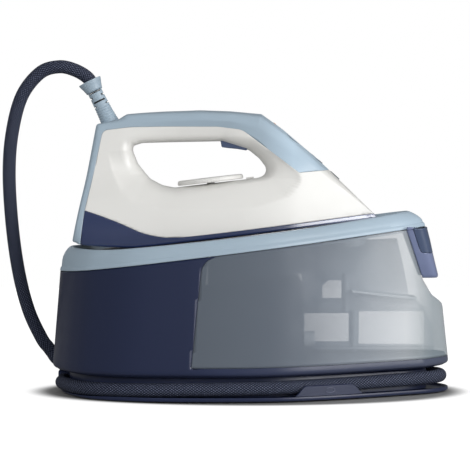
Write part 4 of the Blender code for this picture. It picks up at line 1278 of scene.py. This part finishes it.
relief = {
    "foot": (-137.6, 0, 262.0), "mouth": (-156.4, 0, 299.8),
    "rows": [(-3, 8.8), (0, 8.5), (3, 8.3), (8, 7.9), (14, 7.6), (20, 7.3), (26, 7.1), (31.5, 7.1), (32.2, 7.5), (33.8, 8.2), (36.5, 9.3), (39.5, 10.5), (42.0, 11.3),
             (42.6, 11.35), (42.9, 11.0), (42.2, 10.2), (38, 8.6), (34, 7.4), (32.3, 7.0)],
}


def buildRelief():
    foot, mouth = Vector(relief["foot"]), Vector(relief["mouth"])
    along = (mouth - foot).normalized()
    rows, table = [], relief["rows"][:13]
    ts = np.arange(-3, 42.01, 0.42)
    for t in ts:
        rows.append((float(t), float(np.interp(t, *zip(*table)))))
    rows += relief["rows"][13:]

    def ribs(t, a):
        if 1.2 < t < 16:
            return -0.5 * max(0.0, math.sin(2 * math.pi * (t - 1.2) / 2.46)) ** 2
        return 0.0

    def slots(t, a):
        if 30.0 < t < 31.7 or 20.6 < t < 22.2:
            return abs(math.sin(a)) > 0.42
        if 25.5 < t < 27.3 or 16.6 < t < 18.2:
            return abs(math.cos(a)) > 0.66
        return False

    lathe("hose_strain_relief", foot, along, rows, paleBlue, "iron", ["strain_relief"], 96, ribs, slots, 1.2)
    lathe("relief_sleeve", foot, along, [(-2, 6.0), (31, 6.0)], blackPlastic, "iron", count=48)


def buildControls():
    up = Vector((-sinTilt, 0, cosTilt))
    centre = Vector(toIron([(-33.3, 0, 0)])[0])
    rows = [(55.9, 0), (55.9, 30.2), (56.1, 31.2), (56.5, 31.8), (57.2, 32), (59.2, 31.7), (59.9, 31.3), (60.3, 30.6), (60.5, 29.4), (60.5, 24), (60.2, 22.8), (60.4, 21), (60.4, 0)]

    def grip(t, a):
        return -0.22 * (0.5 + 0.5 * math.cos(72 * a)) if 56.4 < t < 60 else 0.0

    lathe("dial_knob", centre, up, rows, white, "dial", ["temperature_dial"], 432, grip)
    boxAt("dial_pointer", (7.5, 7.5, 1.5), (5.0, 0, 55.6), white, "iron", 0.5)
    trigger = roundLoop([(-19.4, 99), (-2, 97), (4.4, 92), (6.4, 84.3), (4.8, 82.3), (-4, 84.8), (-14, 87.0), (-18.8, 88.3)], [1, 2, 2, 1.2, 1.4, 14, 14, 1.4])
    cutPlate("trigger_lever", [trigger], 7.0, 1.1, triggerGrey, "trigger", ["steam_trigger"], ironMatrix)
    crest, foot = Vector((23.1, 0, 115.5)), Vector((82.8, 0, 53))
    run = (foot - crest).normalized()
    out = Vector((-run.z, 0, run.x)) * (1 if run.x > 0 else -1)
    for name, along, radius, body, node in (("steam_boost", 38, 9.5, "steam_button", "steam_button"), ("power_switch", 68, 6.6, "power_button", "power_button")):
        spot = crest + run * along + out * 1.0
        centre = Vector(toIron([tuple(spot)])[0])
        normal = Vector(toIron([tuple(spot + out)])[0]) - centre
        lift = 0.7
        cap = [(-4, radius - 0.4), (lift - 0.9, radius - 0.35), (lift - 0.3, radius - 0.6), (lift, radius - 1.3), (lift - 0.5, radius * 0.7), (lift - 1.1, radius * 0.4),
               (lift - 1.35, 0.01)]
        lathe(name + "_cap", centre, normal, cap, paleBlueLight, body, [node], 64, sag=0.010)
        # A dark ring just proud of the panel round each button: painted shade of its groove.
        ring = [(-4, radius - 0.1), (0.2, radius - 0.05), (0.5, radius + 0.3), (0.55, radius + 0.8), (0.35, radius + 1.3), (-0.8, radius + 1.6), (-4, radius + 1.6)]
        lathe(name + "_groove_shade_ring", centre, normal, ring, gapShadeGrey, "iron", (), 64, sag=0.010)
    # A dark block on the ridge under the panel: painted shade of the slit there.
    mark = boxPiece("ridge_slit_shade", (11.5, 6.5, 1.7), (0, 0, 0), gapShadeGrey, "iron", 0.35, turn=math.radians(49.0))
    mark.matrix_world = ironMatrix @ Matrix.Translation(Vector((86.6, 0, 48.4)) * mm)
    spot = crest + run * 16 + out * 0.6
    centre = Vector(toIron([tuple(spot)])[0])
    normal = Vector(toIron([tuple(spot + out)])[0]) - centre
    lathe("lamp_lens", centre, normal, [(-2, 2.2), (0.3, 2.2), (0.75, 1.8), (1.0, 1.0), (1.08, 0.01)], lensAmber, "iron", ["indicator_lens"], 32)


def boxAt(name, size, centre, material, body, bevel, nodes=()):
    thing = boxPiece(name, size, (0, 0, 0), material, body, bevel, nodes)
    thing.matrix_world = ironMatrix @ Matrix.Translation(Vector(centre) * mm)
    return thing


triggerGrey = mouldedPlastic("trigger_grey_plastic", (0.075, 0.10, 0.175), 0.16, 0.1, 0.05)
paleBlueLight = mouldedPlastic("pale_blue_button_plastic", (0.40, 0.49, 0.59), 0.35, 0.1, 0.02)
buildRelief()
buildControls()
print("controls ready")

# The steam hose: one woven tube from the iron down and round the base

hose = {"radius": 6.4, "sides": 30, "step": 1.5, "grooveSize": (-192.5, 191.5, 110), "grooveInset": 8.4, "grooveLow": 13.0, "grooveSlope": 0.015}


def grooveLine():
    ring = planRing(*hose["grooveSize"], inset=hose["grooveInset"], count=240)
    ring = ring[::-1]
    start = int(np.argmin(ring[:, 0]))
    ring = np.roll(ring, -start, axis=0)
    return ring if ring[len(ring) // 4, 1] > 0 else np.concatenate([ring[:1], ring[:0:-1]])


def hoseRoute():
    foot, mouth = Vector(relief["foot"]), Vector(relief["mouth"])
    way = (mouth - foot).normalized()
    join, fall = Vector((-199, 63, 31)), Vector((0.5, 0.42, -0.76)).normalized()
    free = [mouth - way * 6.6, mouth + way * 4, (-171, 0.5, 311.2), (-186.6, 1.5, 314.4), (-205, 3.5, 308.5), (-223, 6.5, 286), (-233, 10, 250),
            (-236.5, 15, 210), (-234.5, 22, 160), (-229, 31, 113), (-220.5, 42, 75), (-209, 54, 46.5), join - fall * 8, join]
    groove = grooveLine()
    run = np.concatenate([[0], np.cumsum(np.linalg.norm(np.diff(np.vstack([groove, groove[:1]]), axis=0), axis=1))])
    loop = np.vstack([groove, groove[:1]])

    def at(share):
        x, y = (np.interp(share * run[-1], run, loop[:, k]) for k in (0, 1))
        return (x, y, hose["grooveLow"] + hose["grooveSlope"] * x)

    shares = [.13, .17, .21, .25, .29, .33, .37, .405, .44, .465, .485, .5, .515, .535, .56, .595, .63, .67, .71, .75, .79, .83, .87, .90, .93, .955, .98]
    wrap = [join + fall * 8, (-184, 74, 15.5), (-164, 82.5, 11.6), *map(at, shares)]
    end = at(0.98)
    wrap += [(end[0], -1.5, end[2]), (end[0], 5.6, end[2])]
    line = smoothLine([*free, *wrap], 16)
    length = sum((b - a).length for a, b in zip(line, line[1:]))
    return evenLine(line, int(length / hose["step"]))


def buildHose():
    line = hoseRoute()
    tangents = np.gradient(line, axis=0)
    tangents /= np.linalg.norm(tangents, axis=1)[:, None]
    side = np.cross(tangents[0], (0, 1, 0))
    side /= np.linalg.norm(side)
    count = hose["sides"]
    turn = np.arange(count) * 2 * math.pi / count
    points = []
    for centre, way in zip(line, tangents):
        side = side - way * (side @ way)
        side /= np.linalg.norm(side)
        other = np.cross(way, side)
        points.append(centre + hose["radius"] * (np.cos(turn)[:, None] * side + np.sin(turn)[:, None] * other))
    faces = rowFaces(len(line), count)
    faces += [tuple(range(count))[::-1], tuple(range((len(line) - 1) * count, len(line) * count))]
    thing = makeMesh("steam_hose", np.concatenate(points), faces, braid, 60)
    mesh = thing.data
    layer = mesh.uv_layers.new(name="UVMap")
    run = np.arange(len(line)) * hose["step"] / braidWeave["pitchMm"]
    uvs = np.zeros((len(mesh.loops), 2), np.float32)
    for face in mesh.polygons:
        ids = [mesh.loops[i].vertex_index for i in face.loop_indices]
        wraps = len(ids) == 4 and {i % count for i in ids} == {0, count - 1}
        for i, v in zip(face.loop_indices, ids):
            k = v % count
            uvs[i] = (run[v // count], (count if wraps and k == 0 else k) / count)
    layer.data.foreach_set("uv", uvs.ravel())
    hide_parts("hose_free", "hose_wrap")
    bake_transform(thing)


buildHose()

# Finishes of the parts that show as they are

leftAsTheyAre = {
    "navy": (navy, ["hose_outlet", "drain_plug"]),
    "clear": (innerPale, ["fill_cap", "tank_valve"]),
    "white": (white, ["dial_shaft"]),
    "black": (blackPlastic, ["mains_inlet", "microswitch", "pump", "boiler_thermostat", "dock_socket", "iron_thermostat", "water_tube", "steam_tube"]),
    "rubber": (matRubber, ["foot_pad_1", "foot_pad_2", "foot_pad_3", "foot_pad_4", "pump_mount"]),
    "metal": (aluminium, ["soleplate", "steam_chamber", "chamber_cover"]),
    "steel": (steel, ["boiler", "boiler_heater", "heel_screw_1", "heel_screw_2", "solenoid_valve"]),
    "board": (boardGreen, ["power_board", "iron_board"]),
}
for material, nodes in leftAsTheyAre.values():
    for node in nodes:
        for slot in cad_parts[node].material_slots:
            slot.material = material
print("finishes set")
